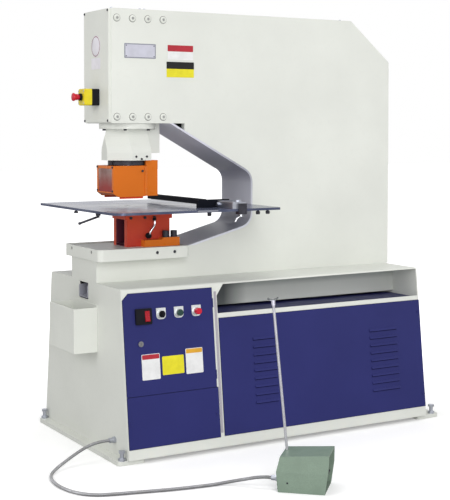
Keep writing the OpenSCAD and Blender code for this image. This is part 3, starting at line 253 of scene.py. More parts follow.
def metal(name, base, rough, grain=(1, 60, 60)):
    """Machined or ground metal with drawn grain and faint handling marks."""
    n = Nodes(name)
    drawn = n.noise(30, 4, 0.6, n.mapped(grain))
    marks = n.noise(9, 5, 0.6)
    c = n.mix(shade(base, 0.85), base, n.ramp(drawn, 0.3, 0.7))
    c = n.mix(c, shade(base, 0.8), n.math("MULTIPLY", n.ramp(marks, 0.55, 0.75), 0.4))
    n.colour(c)
    n.set(metal=1.0)
    n.roughness(drawn, rough - 0.06, rough + 0.08)
    n.bump(drawn, 0.00002, 0.0008)
    return n.material


def dark_metal(name, base, rough, metal_share):
    """Blackened steel with bright rubbed edges."""
    n = Nodes(name)
    mottle = n.noise(45, 5, 0.65)
    c = n.mix(shade(base, 0.7), shade(base, 1.35), n.ramp(mottle, 0.35, 0.65))
    rubbed = n.math("MULTIPLY", n.edges(0.0012), n.ramp(n.noise(70, 4), 0.42, 0.6))
    n.colour(n.mix(c, (0.3, 0.3, 0.31), n.math("MULTIPLY", rubbed, 0.6)))
    n.set(metal=metal_share)
    n.roughness(mottle, rough - 0.1, rough + 0.12)
    n.bump(n.noise(600, 3), 0.00004, 0.0008)
    return n.material


def chrome(name):
    """Bright plating with faint smears."""
    n = Nodes(name)
    smear = n.noise(28, 4, 0.6)
    n.colour(n.mix((0.62, 0.63, 0.66), (0.8, 0.8, 0.82), n.ramp(smear, 0.35, 0.65)))
    n.set(metal=1.0)
    n.roughness(smear, 0.08, 0.2)
    n.bump(n.noise(900, 2), 0.000008, 0.0006)
    return n.material


def plastic(name, base, rough=0.35, spec=0.35):
    """Moulded plastic or a printed film, nearly even in colour."""
    n = Nodes(name)
    cloud = n.noise(35, 4, 0.6)
    n.colour(n.mix(shade(base, 0.94), shade(base, 1.04), n.ramp(cloud, 0.35, 0.65)))
    n.roughness(cloud, rough - 0.06, rough + 0.1)
    n.set(spec=spec)
    n.bump(n.noise(1500, 3), 0.00003, 0.0008)
    return n.material


def hammered(name, base):
    """Hammer-finish enamel: shallow dimples with darker rims."""
    n = Nodes(name)
    cells = n.add("ShaderNodeTexVoronoi", feature="SMOOTH_F1")
    cells.inputs["Scale"].default_value = 260
    cells.inputs["Smoothness"].default_value = 0.6
    n.link(n.coords, cells.inputs["Vector"])
    dimples = cells.outputs["Distance"]
    cloud = n.noise(11, 4, 0.6)
    c = n.mix(shade(base, 1.04), shade(base, 0.92), n.ramp(dimples, 0.2, 0.7))
    c = n.mix(c, shade(base, 0.86), n.ramp(cloud, 0.4, 0.7))
    rubbed = n.math("MULTIPLY", n.edges(0.0014), n.ramp(n.noise(60, 4), 0.4, 0.6))
    n.colour(n.mix(c, shade(base, 1.5), n.math("MULTIPLY", rubbed, 0.5)))
    n.roughness(cloud, 0.3, 0.42)
    n.set(spec=0.35)
    n.bump(dimples, 0.00008, 0.0014)
    return n.material


def table_steel(name):
    """Ground and oiled plate: near mirror, with faint swirls and a blue cast in patches."""
    n = Nodes(name)
    swirl = n.noise(5, 5, 0.65)
    drawn = n.noise(26, 4, 0.6, n.mapped((0.6, 60, 60)))
    c = n.mix((0.062, 0.073, 0.125), (0.135, 0.15, 0.225), n.ramp(swirl, 0.36, 0.62))
    n.colour(n.mix(c, (0.24, 0.25, 0.32), n.math("MULTIPLY", n.ramp(drawn, 0.5, 0.8), 0.3)))
    n.set(metal=0.25, spec=0.12)
    n.roughness(swirl, 0.14, 0.26)
    n.bump(drawn, 0.000004, 0.001)
    return n.material


def smoked(name):
    """The guard's window: smoky, and redder towards its foot."""
    n = Nodes(name)
    streak = n.noise(14, 4, 0.6)
    deep = n.ramp(n.xyz()[2], 1.05, 1.11)
    c = n.mix((0.42, 0.2, 0.17), (0.62, 0.42, 0.38), n.ramp(streak, 0.35, 0.65))
    n.colour(n.mix((0.6, 0.1, 0.09), c, deep))
    n.roughness(streak, 0.06, 0.2)
    n.set(trans=0.5, ior=1.35)
    return n.material


CREAM = (0.74, 0.755, 0.705)
BLUE = (0.026, 0.029, 0.14)
ORANGE = (0.72, 0.17, 0.012)

# One material for each slot that the record names.
M = {
    "cream_paint": paint("cream_paint", CREAM, 0.38, wear=(0.6, 0.61, 0.57)),
    "blue_paint": paint("blue_paint", BLUE, 0.42, wear=(0.07, 0.08, 0.22), peel=0.00012,
                        dust=0.09, wear_amount=0.3, spec=0.12),
    "grey_paint": paint("grey_paint", (0.34, 0.345, 0.4), 0.3, wear=(0.48, 0.49, 0.54),
                        dust=0.08, wear_amount=0.3),
    "orange_paint": paint("orange_paint", ORANGE, 0.3, wear=(0.75, 0.3, 0.08),
                          dust=0.08, wear_amount=0.35, spec=0.2),
    "red_orange_paint": paint("red_orange_paint", (0.66, 0.07, 0.032), 0.3, wear=(0.68, 0.16, 0.07),
                              dust=0.1, wear_amount=0.35, spec=0.25),
    "machined_steel": metal("machined_steel", (0.56, 0.57, 0.59), 0.26),
    "dark_steel": dark_metal("dark_steel", (0.032, 0.032, 0.042), 0.5, metal_share=0.4),
    "zinc_steel": metal("zinc_steel", (0.5, 0.52, 0.58), 0.34, grain=(20, 20, 20)),
    "chrome": chrome("chrome"),
    "black_plastic": plastic("black_plastic", (0.008, 0.008, 0.011), spec=0.12),
    "yellow_plastic": plastic("yellow_plastic", (0.78, 0.64, 0.02), 0.3),
    "red_plastic": plastic("red_plastic", (0.56, 0.008, 0.03), 0.22),
    "green_plastic": plastic("green_plastic", (0.02, 0.055, 0.045), 0.25, spec=0.25),
    "label_plate": metal("label_plate", (0.7, 0.72, 0.72), 0.4, grain=(60, 2, 2)),
    "smoked_window": smoked("smoked_window"),
    "hammered_green": hammered("hammered_green", (0.225, 0.3, 0.235)),
    "tank_paint": paint("tank_paint", (0.1, 0.17, 0.26), 0.4),
    "conduit_grey": metal("conduit_grey", (0.4, 0.4, 0.42), 0.35),
    "mounting_plate": paint("mounting_plate", (0.55, 0.55, 0.52), 0.5),
}

# Finer materials for single pieces and for the small ones added below.
table_top = table_steel("table_steel")
fence_paint = plastic("fence_black", (0.006, 0.007, 0.012), 0.5, spec=0.06)
label_white = plastic("label_white", (0.78, 0.78, 0.78), 0.4)
label_pale = plastic("label_pale", (0.8, 0.78, 0.83), 0.4)
label_red = plastic("label_red", (0.42, 0.02, 0.035), 0.4)
label_black = plastic("label_black", (0.012, 0.012, 0.012), 0.4, spec=0.2)
label_yellow = plastic("label_yellow", (0.76, 0.68, 0.02), 0.4)
label_amber = plastic("label_amber", (0.7, 0.36, 0.03), 0.4)
label_lilac = plastic("label_lilac", (0.56, 0.56, 0.64), 0.35)
label_grey = metal("label_grey", (0.3, 0.31, 0.36), 0.4, grain=(60, 2, 2))
louvre_shadow = plastic("louvre_shadow", (0.006, 0.007, 0.04), 0.6, spec=0.05)
bolt_shadow = plastic("bolt_shadow", (0.13, 0.13, 0.125), 0.7, spec=0.1)
socket_shade = plastic("socket_shade", (0.36, 0.365, 0.35), 0.6, spec=0.1)
seam_dark = plastic("seam_dark", (0.02, 0.022, 0.05), 0.7, spec=0.05)
rim_red = plastic("rim_red", (0.2, 0.012, 0.03), 0.4)
rocker_red = plastic("rocker_red", (0.36, 0.006, 0.016), 0.25)
lock_metal = metal("lock_metal", (0.26, 0.26, 0.27), 0.32)
clamp_paint = paint("clamp_paint", (0.8, 0.2, 0.02), 0.3, wear=(0.75, 0.3, 0.08),
                    dust=0.1, wear_amount=0.3, spec=0.2)
divider_shade_paint = paint("divider_shade_paint", (0.4, 0.38, 0.42), 0.4, wear=(0.5, 0.48, 0.52), dust=0.06)


def paint_shaded_below(name, high, low, level, band, rough):
    """Enamel that turns from one colour to the other at a height; on the guard the redder lower colour is
    painted shade under its lip.
    """
    n = Nodes(name)
    z = n.xyz()[2]
    cloud = n.noise(6, 4)
    c = n.mix(low, high, n.ramp(z, level - band, level + band))
    n.colour(n.mix(c, shade(high, 0.8), n.math("MULTIPLY", n.ramp(cloud, 0.5, 0.8), 0.2)))
    n.set(spec=0.25)
    n.roughness(cloud, rough - 0.05, rough + 0.08)
    n.bump(n.noise(520, 2, 0.5), 0.00006, 0.001)
    return n.material


def lining(name):
    """Tray enamel, blue on its floor, with painted shade: darker under the shelf and darker still in the
    corner by the post.
    """
    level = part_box("tray_lining")[0][2] + 0.0045
    n = Nodes(name)
    x, _, z = n.xyz()
    # Painted shade under the shelf, then a painted shadow in the corner by the post, then the blue floor.
    c = n.mix((0.62, 0.64, 0.6), (0.44, 0.47, 0.44), n.ramp(z, level + 0.07, level + 0.09))
    c = n.mix((0.09, 0.1, 0.1), c, n.ramp(x, *TRAY_PAINTED_SHADOW))
    c = n.mix(BLUE, c, n.ramp(z, level - 0.001, level + 0.001))
    cloud = n.noise(6, 4)
    n.colour(n.mix(c, (0.4, 0.42, 0.4), n.math("MULTIPLY", n.ramp(cloud, 0.5, 0.8), 0.15)))
    n.set(spec=0.25)
    n.roughness(cloud, 0.35, 0.48)
    n.bump(n.noise(520, 2, 0.5), 0.00006, 0.001)
    return n.material


def holder_paint_and_shade(name):
    """The die holder's orange-red, with painted shade in its slug channel."""
    _, wall_y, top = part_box("die_holder")[1]
    n = Nodes(name)
    _, y, z = n.xyz()
    side = n.math("ABSOLUTE", y)
    channel_shade = n.ramp(side, wall_y - 0.0235, wall_y - 0.0245)
    channel_shade = n.math("MULTIPLY", channel_shade, n.ramp(z, top - 0.0425, top - 0.0435))
    cloud, speck = n.noise(7, 4), n.noise(420, 2, 0.5)
    c = n.mix((0.72, 0.085, 0.03), (0.62, 0.062, 0.036), n.ramp(cloud, 0.35, 0.7))
    rubbed = n.math("MULTIPLY", n.edges(0.0012), n.ramp(n.noise(80, 4), 0.45, 0.62))
    c = n.mix(c, (0.8, 0.25, 0.1), n.math("MULTIPLY", rubbed, 0.5))
    # Painted shade in the slug channel.
    n.colour(n.mix(c, (0.09, 0.025, 0.05), n.math("MULTIPLY", channel_shade, 0.93)))
    n.set(spec=0.2)
    n.roughness(cloud, 0.26, 0.38)
    n.bump(speck, 0.00005, 0.0012)
    return n.material


def rod_metal(name):
    """Bright tube with a pale socket and a darker forked top."""
    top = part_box("carry_rod")[1][2]
    n = Nodes(name)
    z = n.xyz()[2]
    drawn = n.noise(30, 4, 0.6, n.mapped((60, 60, 1)))
    c = n.mix((0.42, 0.42, 0.45), (0.56, 0.56, 0.6), n.ramp(drawn, 0.3, 0.7))
    c = n.mix(c, (0.62, 0.61, 0.7), n.ramp(z, top - 0.035, top - 0.033))
    n.colour(n.mix(c, (0.12, 0.13, 0.13), n.ramp(z, top - 0.0125, top - 0.0115)))
    n.set(metal=0.5)
    n.roughness(drawn, 0.22, 0.36)
    n.bump(drawn, 0.00002, 0.0008)
    return n.material


def liner(name):
    """The throat liner's enamel, with painted light that makes its upper and lower slopes paler."""
    n = Nodes(name)
    z = n.xyz()[2]
    # Painted light: paler low down and high up, where the slopes lie in the head's and table's shadow.
    c = n.mix((0.76, 0.77, 0.84), (0.33, 0.335, 0.39), n.ramp(z, 0.87, 1.13))
    c = n.mix(c, (0.66, 0.665, 0.75), n.ramp(z, 1.15, 1.23))
    drawn = n.noise(24, 4, 0.6, n.mapped((6, 60, 1)))
    n.colour(n.mix(c, (0.5, 0.51, 0.56), n.math("MULTIPLY", n.ramp(drawn, 0.5, 0.8), 0.35)))
    n.set(spec=0.3)
    n.roughness(drawn, 0.28, 0.42)
    n.bump(n.noise(520, 2, 0.5), 0.00006, 0.001)
    return n.material


def dress(node, material):
    NODES[node].data.materials.clear()
    NODES[node].data.materials.append(material)


for part in frame["record"]["subparts"]:
    dress(part["node"], M[part["material_slot"]])
dress("gauge_table", table_top)
dress("fence_bar", fence_paint)
dress("holder_clamp", clamp_paint)
# The guard's redder foot is painted shade under its lip.
dress("stripper_guard", paint_shaded_below("guard_paint_shaded_foot", ORANGE, (0.7, 0.06, 0.02), GUARD_SHADE_LEVEL, 0.0003, 0.3))
dress("tray_lining", lining("tray_paint_painted_shade"))
dress("die_holder", holder_paint_and_shade("holder_paint_and_shade"))
dress("carry_rod", rod_metal("rod_metal"))
dress("throat_liner", liner("liner_paint_painted_light"))
dress("power_rocker", rocker_red)
dress("door_lock", lock_metal)


# ---------------------------------------------------------- mesh building

def finish_mesh(name, bm, material, smooth=None):
    """Makes the object; smooth is the angle in degrees above which an edge stays sharp."""
    mesh = bpy.data.meshes.new(name)
    bmesh.ops.recalc_face_normals(bm, faces=bm.faces)
    bm.to_mesh(mesh)
    bm.free()
    obj = bpy.data.objects.new(name, mesh)
    bpy.context.scene.collection.objects.link(obj)
    mesh.materials.append(material)
    if smooth:
        mesh.polygons.foreach_set("use_smooth", [True] * len(mesh.polygons))
        mesh.update()
        mark_sharp(mesh, math.radians(smooth))
    return obj


def mark_sharp(mesh, angle):
    bm = bmesh.new()
    bm.from_mesh(mesh)
    for e in bm.edges:
        if len(e.link_faces) == 2 and e.calc_face_angle(0) > angle:
            e.smooth = False
    bm.to_mesh(mesh)
    bm.free()


def ring_of(bm, place, r, z, steps):
    """New vertices on a circle round local z."""
    return [bm.verts.new(place @ Vector((r * math.cos(2 * math.pi * k / steps),
                                         r * math.sin(2 * math.pi * k / steps), z)))
            for k in range(steps)]


def skin(bm, rings):
    """Walls between rings that have the same number of vertices."""
    for a, b in zip(rings, rings[1:]):
        for k in range(len(a)):
            q = (k + 1) % len(a)
            bm.faces.new([a[k], a[q], b[q], b[k]])


def cap_ends(bm, rings):
    bm.faces.new(rings[-1])
    bm.faces.new(list(reversed(rings[0])))


def lathe(bm, profile, place, steps):
    """Turns [radius, height] points about local z."""
    rings = [ring_of(bm, place, r, z, steps if r > 0 else 1) for r, z in profile]
    for a, b in zip(rings, rings[1:]):
        for k in range(steps):
            q = (k + 1) % steps
            face = [a[k % len(a)], a[q % len(a)], b[q % len(b)], b[k % len(b)]]
            face = list(dict.fromkeys(face))
            if len(face) > 2:
                bm.faces.new(face)


CORNER_STEPS = 5


def rounded_points(x0, y0, x1, y1, r):
    """A rectangle's outline with round corners."""
    centres = ((x1 - r, y1 - r, 0), (x0 + r, y1 - r, 90), (x0 + r, y0 + r, 180), (x1 - r, y0 + r, 270))
    pts = []
    for cx, cy, start in centres:
        for k in range(CORNER_STEPS + 1):
            a = math.radians(start + 90 * k / CORNER_STEPS)
            pts.append((cx + r * math.cos(a), cy + r * math.sin(a)))
    return pts


def plate(bm, pts, z0, z1, place, bevel=0.0003):
    """A flat plate with a small chamfer round its upper face."""
    cx = sum(p[0] for p in pts) / len(pts)
    cy = sum(p[1] for p in pts) / len(pts)

    def ring(z, inset):
        out = []
        for x, y in pts:
            d = math.hypot(x - cx, y - cy) or 1
            k = max(0.0, 1 - inset / d)
            out.append(bm.verts.new(place @ Vector((cx + (x - cx) * k, cy + (y - cy) * k, z))))
        return out

    rings = [ring(z0, 0), ring(z1 - bevel, 0), ring(z1, bevel)]
    skin(bm, rings)
    cap_ends(bm, rings)


def axis_place(point, direction):
    """Local z along direction, origin at point."""
    q = Vector(direction).to_track_quat("Z", "Y")
    return Matrix.Translation(point) @ q.to_matrix().to_4x4()


def pan_screw(bm, place, r, h=None, slot=True):
    """A domed screw head, with a round recess or plain as a rivet."""
    h = h or r * 0.55
    profile = [(r, 0), (r, h * 0.25), (r * 0.92, h * 0.6), (r * 0.7, h * 0.88), (r * 0.4, h)]
    if slot:
        profile += [(r * 0.34, h * 0.98), (r * 0.2, h * 0.35), (0, h * 0.3)]
    else:
        profile += [(0, h * 1.02)]
    lathe(bm, profile, place, 20)


def cap_screw(bm, place, r, h):
    """A socket-head screw with a hexagon recess."""
    steps = 24
    profile = [(r, 0), (r, h * 0.9), (r * 0.92, h), (r * 0.52, h)]
    lathe(bm, profile, place, steps)
    hexagon = ring_of(bm, place, r * 0.5, h * 0.5, 6)
    rim = ring_of(bm, place, r * 0.52, h, steps)
    for k in range(steps):
        a, b = rim[k], rim[(k + 1) % steps]
        h0, h1 = hexagon[k * 6 // steps], hexagon[((k + 1) * 6 // steps) % 6]
        bm.faces.new([a, b, h1, h0] if h0 is not h1 else [a, b, h0])
    bm.faces.new(hexagon)


def swept_rings(bm, path, radii, across, sides):
    """A ring of vertices at each point of a path that nowhere runs along across."""
    rings = []
    for i, (p, r) in enumerate(zip(path, radii)):
        t = (path[min(i + 1, len(path) - 1)] - path[max(i - 1, 0)]).normalized()
        s = t.cross(across).normalized()
        u = s.cross(t)
        rings.append([bm.verts.new(p + (s * math.cos(2 * math.pi * k / sides)
                                        + u * math.sin(2 * math.pi * k / sides)) * r)
                      for k in range(sides)])
    return rings


def spline(points, k):
    """A smooth curve through the points, with k steps between two of them."""
    pts = [Vector(p) for p in points]
    out = []
    for i in range(len(pts) - 1):
        a, b = pts[max(i - 1, 0)], pts[i]
        c, d = pts[i + 1], pts[min(i + 2, len(pts) - 1)]
        for j in range(k):
            t = j / k
            out.append((2 * b + (c - a) * t + (2 * a - 5 * b + 4 * c - d) * t * t
                        + (3 * b - a - 3 * c + d) * t * t * t) / 2)
    out.append(pts[-1])
    return out


def resample(path, step):
    """The same path with its points one step apart."""
    out = [path[0].copy()]
    left = step
    for a, b in zip(path, path[1:]):
        d = (b - a).length
        while d > left:
            a = a + (b - a) * (left / d)
            out.append(a.copy())
            d -= left
            left = step
        left -= d
    out.append(path[-1].copy())
    return out


def piece(name, bm, material, body="frame", smooth=40):
    """A visible piece that moves with its body."""
    obj = finish_mesh(name, bm, material, smooth)
    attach(obj, body)
    return obj


def field(name, x0, z0, x1, z1, material, r=0.002, z=0.0007, place=NEAR):
    """A blank label on an upright face."""
    bm = bmesh.new()
    plate(bm, rounded_points(x0, z0, x1, z1, r), 0, z, place, 0.0002)
    piece(name, bm, material)


def side_field(name, x0, z0, x1, z1, material, lift=0.0006):
    """A blank label on the control door."""
    bm = bmesh.new()
    plate(bm, rounded_points(x0, side_v(z0), x1, side_v(z1), 0.004), 0, lift,
          SIDE @ Matrix.Translation((0, 0, DOOR_FACE)), 0.0002)
    piece(name, bm, material, "control_door")


# ------------------------------------------------------------------ conduit

CONDUIT_R = 0.006
U_LENGTH = 0.0035
# From the gland in the end wall round to the foot switch.
ROUTE = [
    (-95, -299, 75), (-124, -299, 75), (-160, -300, 71), (-199, -303, 61),
    (-244, -309, 43), (-290, -323, 25), (-336, -350, 12), (-374, -394, 7),
    (-397, -452, 6.5), (-406, -518, 6.5), (-403, -575, 6.5), (-389, -632, 6.5),
    (-362, -680, 6.5), (-322, -712, 6.5), (-270, -731, 6.5), (-200, -750, 6.5),
    (-106, -775, 6.5), (-40, -790, 6.5), (20, -800, 6.5), (80, -808, 6.5),
    (130, -818, 10), (172, -853, 22), (208, -893, 35), (234, -920.3, 40),
    (250, -935.5, 40),
]


def conduit_material():
    """Flexible steel conduit: the wound strip's ribs follow the length, with painted shade in the grooves
    and painted highlight on the crests.
    """
    n = Nodes("ribbed_conduit")
    uv = n.add("ShaderNodeTexCoord").outputs["UV"]
    wave = n.add("ShaderNodeTexWave", wave_type="BANDS", bands_direction="X", wave_profile="SIN")
    wave.inputs["Scale"].default_value = 0.5
    n.link(uv, wave.inputs["Vector"])
    grime = n.noise(16, 4, 0.6)
    ribs = wave.outputs["Fac"]
    # Dark in the grooves, pale on the crests: painted shade and highlight.
    c = n.mix((0.16, 0.16, 0.17), (0.56, 0.56, 0.58), n.ramp(ribs, 0.1, 0.75))
    n.colour(n.mix(c, (0.3, 0.3, 0.3), n.ramp(grime, 0.45, 0.75)))
    n.set(metal=0.85)
    n.roughness(grime, 0.3, 0.45)
    n.bump(ribs, 0.0009)
    return n.material


def ribbed_tube(name, path, sides, material):
    """The conduit's tube: U follows its length, with a slant that makes the ribs wind, and V its round."""
    bm = bmesh.new()
    uv = bm.loops.layers.uv.new("UVMap")
    rings = swept_rings(bm, path, [CONDUIT_R] * len(path), Vector((0, 0, 1)), sides)
    along, turns = 0.0, [0.0]
    for a, b in zip(path, path[1:]):
        along += (b - a).length
        turns.append(along / U_LENGTH)
    for i in range(len(rings) - 1):
        for k in range(sides):
            q = (k + 1) % sides
            f = bm.faces.new([rings[i][k], rings[i + 1][k], rings[i + 1][q], rings[i][q]])
            corners = ((turns[i], k), (turns[i + 1], k), (turns[i + 1], k + 1), (turns[i], k + 1))
            for loop, (turn, v) in zip(f.loops, corners):
                loop[uv].uv = (turn + v / sides * 0.5, v / sides)
    cap_ends(bm, rings)
    return finish_mesh(name, bm, material, smooth=60)


fine_path = [p / 1000 for p in spline(ROUTE, 12)]
conduit_path = resample(fine_path, 0.006)
conduit = ribbed_tube("foot_switch_conduit", conduit_path, 16, conduit_material())
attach(conduit, "frame")
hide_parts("conduit")


# ------------------------------------------------------------ head and frame

COVER_SCREWS = [(y, z) for y in (-0.114, 0.114) for z in (1.325, 1.771)]
NAMEPLATE_RIVETS = [(x, z) for x in (0.0665, 0.1925) for z in (1.5885, 1.6315)]
CROWN_SCREWS_X = (0.006, 0.134, 0.155, 1.139)
BOLT_R = 0.0135
BOLT_PITCH = 0.07

bm = bmesh.new()
for y, z in COVER_SCREWS:
    pan_screw(bm, axis_place((-0.011, y, z), (-1, 0, 0)), 0.0055)
piece("head_cover_screws", bm, M["dark_steel"])

badge = axis_place((COVER_FACE_X, 0, 1.631), (-1, 0, 0))
bm = bmesh.new()
lathe(bm, [(0, 0.0009), (0.0435, 0.0009), (0.0445, 0.0005), (0.0445, 0)], badge, 48)
piece("round_badge_blank", bm, label_pale)
bm = bmesh.new()
lathe(bm, [(0.0388, 0.0013), (0.0412, 0.0013), (0.0416, 0.0008)], badge, 48)
piece("round_badge_rim", bm, rim_red)
bm = bmesh.new()
plate(bm, rounded_points(-0.044, 1.537, 0.044, 1.583, 0.003), 0, 0.0008, COVER_FACE)
piece("head_label_blank", bm, label_pale)

field("nameplate_blank", 0.058, 1.580, 0.201, 1.640, label_grey, z=0.0011)
field("nameplate_field", 0.0625, 1.5845, 0.1965, 1.6355, label_lilac, z=0.0014)
bm = bmesh.new()
for x, z in NAMEPLATE_RIVETS:
    pan_screw(bm, NEAR @ Matrix.Translation((x, z, 0.0013)), 0.0024, slot=False)
piece("nameplate_rivets", bm, M["dark_steel"])

# The big screws in the near side plate: a painted shadow ring round each head, and a hexagon of painted
# shade in its socket.
bolt_lo, bolt_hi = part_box("frame_bolts")
bolt_places = [NEAR @ Matrix.Translation((bolt_lo[0] + BOLT_R + BOLT_PITCH * i, z, 0))
               for i in range(4) for z in (bolt_lo[2] + BOLT_R, bolt_hi[2] - BOLT_R)]
bm = bmesh.new()
for place in bolt_places:
    lathe(bm, [(0.0137, 0), (0.0137, 0.0003), (0.0152, 0.0003), (0.0156, 0)], place, 40)
piece("head_bolt_shadow_rings", bm, bolt_shadow)
bm = bmesh.new()
for place in bolt_places:
    lathe(bm, [(0.0062, 0.0036), (0.0062, 0.0046), (0.005, 0.005), (0, 0.005)], place, 6)
piece("head_bolt_socket_shade", bm, socket_shade, smooth=20)
field("frame_label_white", 0.256, 1.579, 0.376, 1.639, label_white)
field("frame_label_band", 0.256, 1.613, 0.376, 1.639, label_red, z=0.001)
field("frame_label_yellow", 0.251, 1.506, 0.380, 1.570, label_yellow)
field("frame_label_black", 0.251, 1.541, 0.380, 1.570, label_black, z=0.001)

bm = bmesh.new()
for x in CROWN_SCREWS_X:
    pan_screw(bm, axis_place((x, -0.112, 1.7798), (0, 0, 1)), 0.0055, 0.005)
piece("crown_screws", bm, M["zinc_steel"])


# ----------------------------------------------------------------- stop box

STOP_Z = 1.422
STOP_SCREWS = [(y, STOP_Z + up) for y in (-0.025, 0.025) for up in (-0.025, 0.025)]

bm = bmesh.new()
for y, z in STOP_SCREWS:
    pan_screw(bm, axis_place((-0.0772, y, z), (-1, 0, 0)), 0.0032)
piece("stop_box_screws", bm, M["zinc_steel"])
collar = [(0.0106, 0), (0.0106, 0.0102), (0.0114, 0.0108), (0.0135, 0.0108), (0.0147, 0.0095), (0.0147, 0)]
bm = bmesh.new()
lathe(bm, collar, axis_place((-0.077, 0, STOP_Z), (-1, 0, 0)), 40)
piece("stop_collar", bm, M["black_plastic"])


# ---------------------------------------------------------- guide and guard

RAM_AXIS = Vector((0.13, 0, 0))
FLANGE_SCREWS = 6

flange_lo, flange_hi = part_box("hydraulic_cylinder")
screw_ring = (flange_hi[1] - flange_lo[1]) / 2 - 0.011
bm = bmesh.new()
for k in range(FLANGE_SCREWS):
    a = 2 * math.pi * k / FLANGE_SCREWS
    at = RAM_AXIS + Vector((screw_ring * math.cos(a), screw_ring * math.sin(a), flange_lo[2]))
    cap_screw(bm, axis_place(at, (0, 0, -1)), 0.0065, 0.007)
piece("flange_screws", bm, M["dark_steel"])

bm = bmesh.new()
for x, z in ((0.121, 1.178), (0.1456, 1.168), (0.169, 1.178)):
    cap_screw(bm, axis_place((x, -0.1048, z), (0, -1, 0)), 0.0045, 0.003)
piece("casting_screws", bm, M["dark_steel"])

bm = bmesh.new()
guard_lo, guard_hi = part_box("stripper_guard")
for y in (-0.074, 0.074):
    for z in (guard_hi[2] - 0.104, guard_hi[2] - 0.006):
        cap_screw(bm, axis_place((guard_lo[0] + 0.0005, y, z), (-1, 0, 0)), 0.0045, 0.004)
piece("guard_window_screws", bm, M["dark_steel"], "guard")
bm = bmesh.new()
lathe(bm, [(0.0025, 0), (0.0025, 0.004), (0.0045, 0.005), (0.005, 0.009), (0.0038, 0.011), (0, 0.0118)],
      axis_place((0.158, -0.0808, 1.118), (0, -1, 0)), 20)
piece("guard_catch", bm, M["dark_steel"], "guard")


# --------------------------------------- painted shade in tapped holes, painted shadow under louvres, and seams

HOLE_SINK = 0.004
BED_SIDE_HOLES_X = (0.181, 0.261)
BED_END_HOLES_Y = (-0.1, 0.1)
# Each set of louvres: its left end, the slats' length and the top slat's height.
LOUVRES = ((0.514, 0.111, 0.428), (1.108, 0.148, 0.411))
LOUVRE_ROWS = 9
LOUVRE_PITCH = 0.032

bed_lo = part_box("bed_plate")[0]
# A dark disc a little way down each tapped hole: painted shade in the hole.
hole_shade_disc = [(0, 0), (0.0066, 0), (0.0066, 0.001), (0, 0.001)]
bm = bmesh.new()
for x in BED_SIDE_HOLES_X:
    lathe(bm, hole_shade_disc, axis_place((x, bed_lo[1] + HOLE_SINK, bed_lo[2] + 0.026), (0, -1, 0)), 24)
for y in BED_END_HOLES_Y:
    lathe(bm, hole_shade_disc, axis_place((bed_lo[0] + HOLE_SINK, y, bed_lo[2] + 0.034), (-1, 0, 0)), 24)
piece("tapped_hole_shade", bm, M["dark_steel"])

# A dark strip under each louvre slat: a painted shadow line.
bm = bmesh.new()
for x, length, top in LOUVRES:
    for i in range(LOUVRE_ROWS):
        v = side_v(top - LOUVRE_PITCH * i)
        x0, x1, v0, v1 = x + 0.001, x + length - 0.001, v - 0.0032, v - 0.0002
        plate(bm, [(x0, v0), (x1, v0), (x1, v1), (x0, v1)], 0, 0.0005,
              SIDE @ Matrix.Translation((0, 0, PANEL_FACE)), 0.0002)
piece("louvre_shadow_lines", bm, louvre_shadow, smooth=20)


def seam(bm, outline, width, z0, z1):
    """A flat closed band just outside a convex outline on the sloped side."""
    n = len(outline)
    pts = [Vector((x, side_v(z))) for x, z in outline]
    outer = []
    for i in range(n):
        a, b, c = pts[i - 1], pts[i], pts[(i + 1) % n]
        u, v = (b - a).normalized(), (c - b).normalized()
        p, q = Vector((u.y, -u.x)), Vector((v.y, -v.x))
        outer.append(b + (p + q) * (width / (1 + p.dot(q))))
    rings = [[bm.verts.new(SIDE @ Vector((p.x, p.y, z))) for p in ring]
             for ring, z in ((pts, z0), (pts, z1), (outer, z1), (outer, z0))]
    skin(bm, rings + rings[:1])


bm = bmesh.new()
for outline in (DOOR_OUTLINE, LOWER_OUTLINE, BIG_OUTLINE):
    seam(bm, outline, 0.0014, 0.0001, 0.0007)
piece("panel_seams", bm, seam_dark, smooth=20)


# ------------------------------------------------------------------ die set

HOLDER_BOLTS_X = (0.1145, 0.1796, 0.2239)
HANDLE_R = 0.0038
HANDLE_SWELL = 0.0014
# From the cam's boss up to the knob.
HANDLE_ROUTE = [
    (194, -82, 852), (196, -84, 863), (201, -85.5, 873), (208, -86, 883),
    (213.5, -86, 893), (215, -86, 903), (213.5, -86, 912),
]

bm = bmesh.new()
for x in HOLDER_BOLTS_X:
    lathe(bm, [(0.0066, 0), (0.0066, 0.005), (0.0058, 0.0058), (0, 0.0058)],
          axis_place((x, -0.0645, 0.9225), (0, -1, 0)), 6)
piece("holder_flange_bolts", bm, M["dark_steel"], smooth=20)

# The cam lever's bent handle is thickest half way along.
handle_path = spline([Vector(p) / 1000 for p in HANDLE_ROUTE], 6)
last = len(handle_path) - 1
handle_radii = [HANDLE_R + HANDLE_SWELL * (1 - abs(2 * i / last - 1)) for i in range(last + 1)]
bm = bmesh.new()
rings = swept_rings(bm, handle_path, handle_radii, Vector((0, 1, 0)), 14)
skin(bm, rings)
cap_ends(bm, rings)
handle = piece("holder_lever_handle", bm, M["chrome"], "holder_lever", smooth=50)
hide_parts("holder_lever")

boss = [(0.011, 0), (0.0128, 0.001), (0.0128, 0.0085), (0.0115, 0.0102), (0.0068, 0.0106),
        (0.0066, 0.0165), (0.0052, 0.0176), (0, 0.0178)]
knob = [(0, 0), (0.0062, 0.0012), (0.0082, 0.0045), (0.0086, 0.0085), (0.0066, 0.0125), (0, 0.0142)]
bm = bmesh.new()
lathe(bm, boss, axis_place((0.192, -0.0703, 0.847), (0, -1, 0)), 28)
lathe(bm, knob, axis_place((0.2138, -0.086, 0.909), (-0.05, 0, 1)), 24)
piece("holder_lever_boss", bm, M["black_plastic"], "holder_lever", smooth=40)


# ------------------------------------------------------------ table details

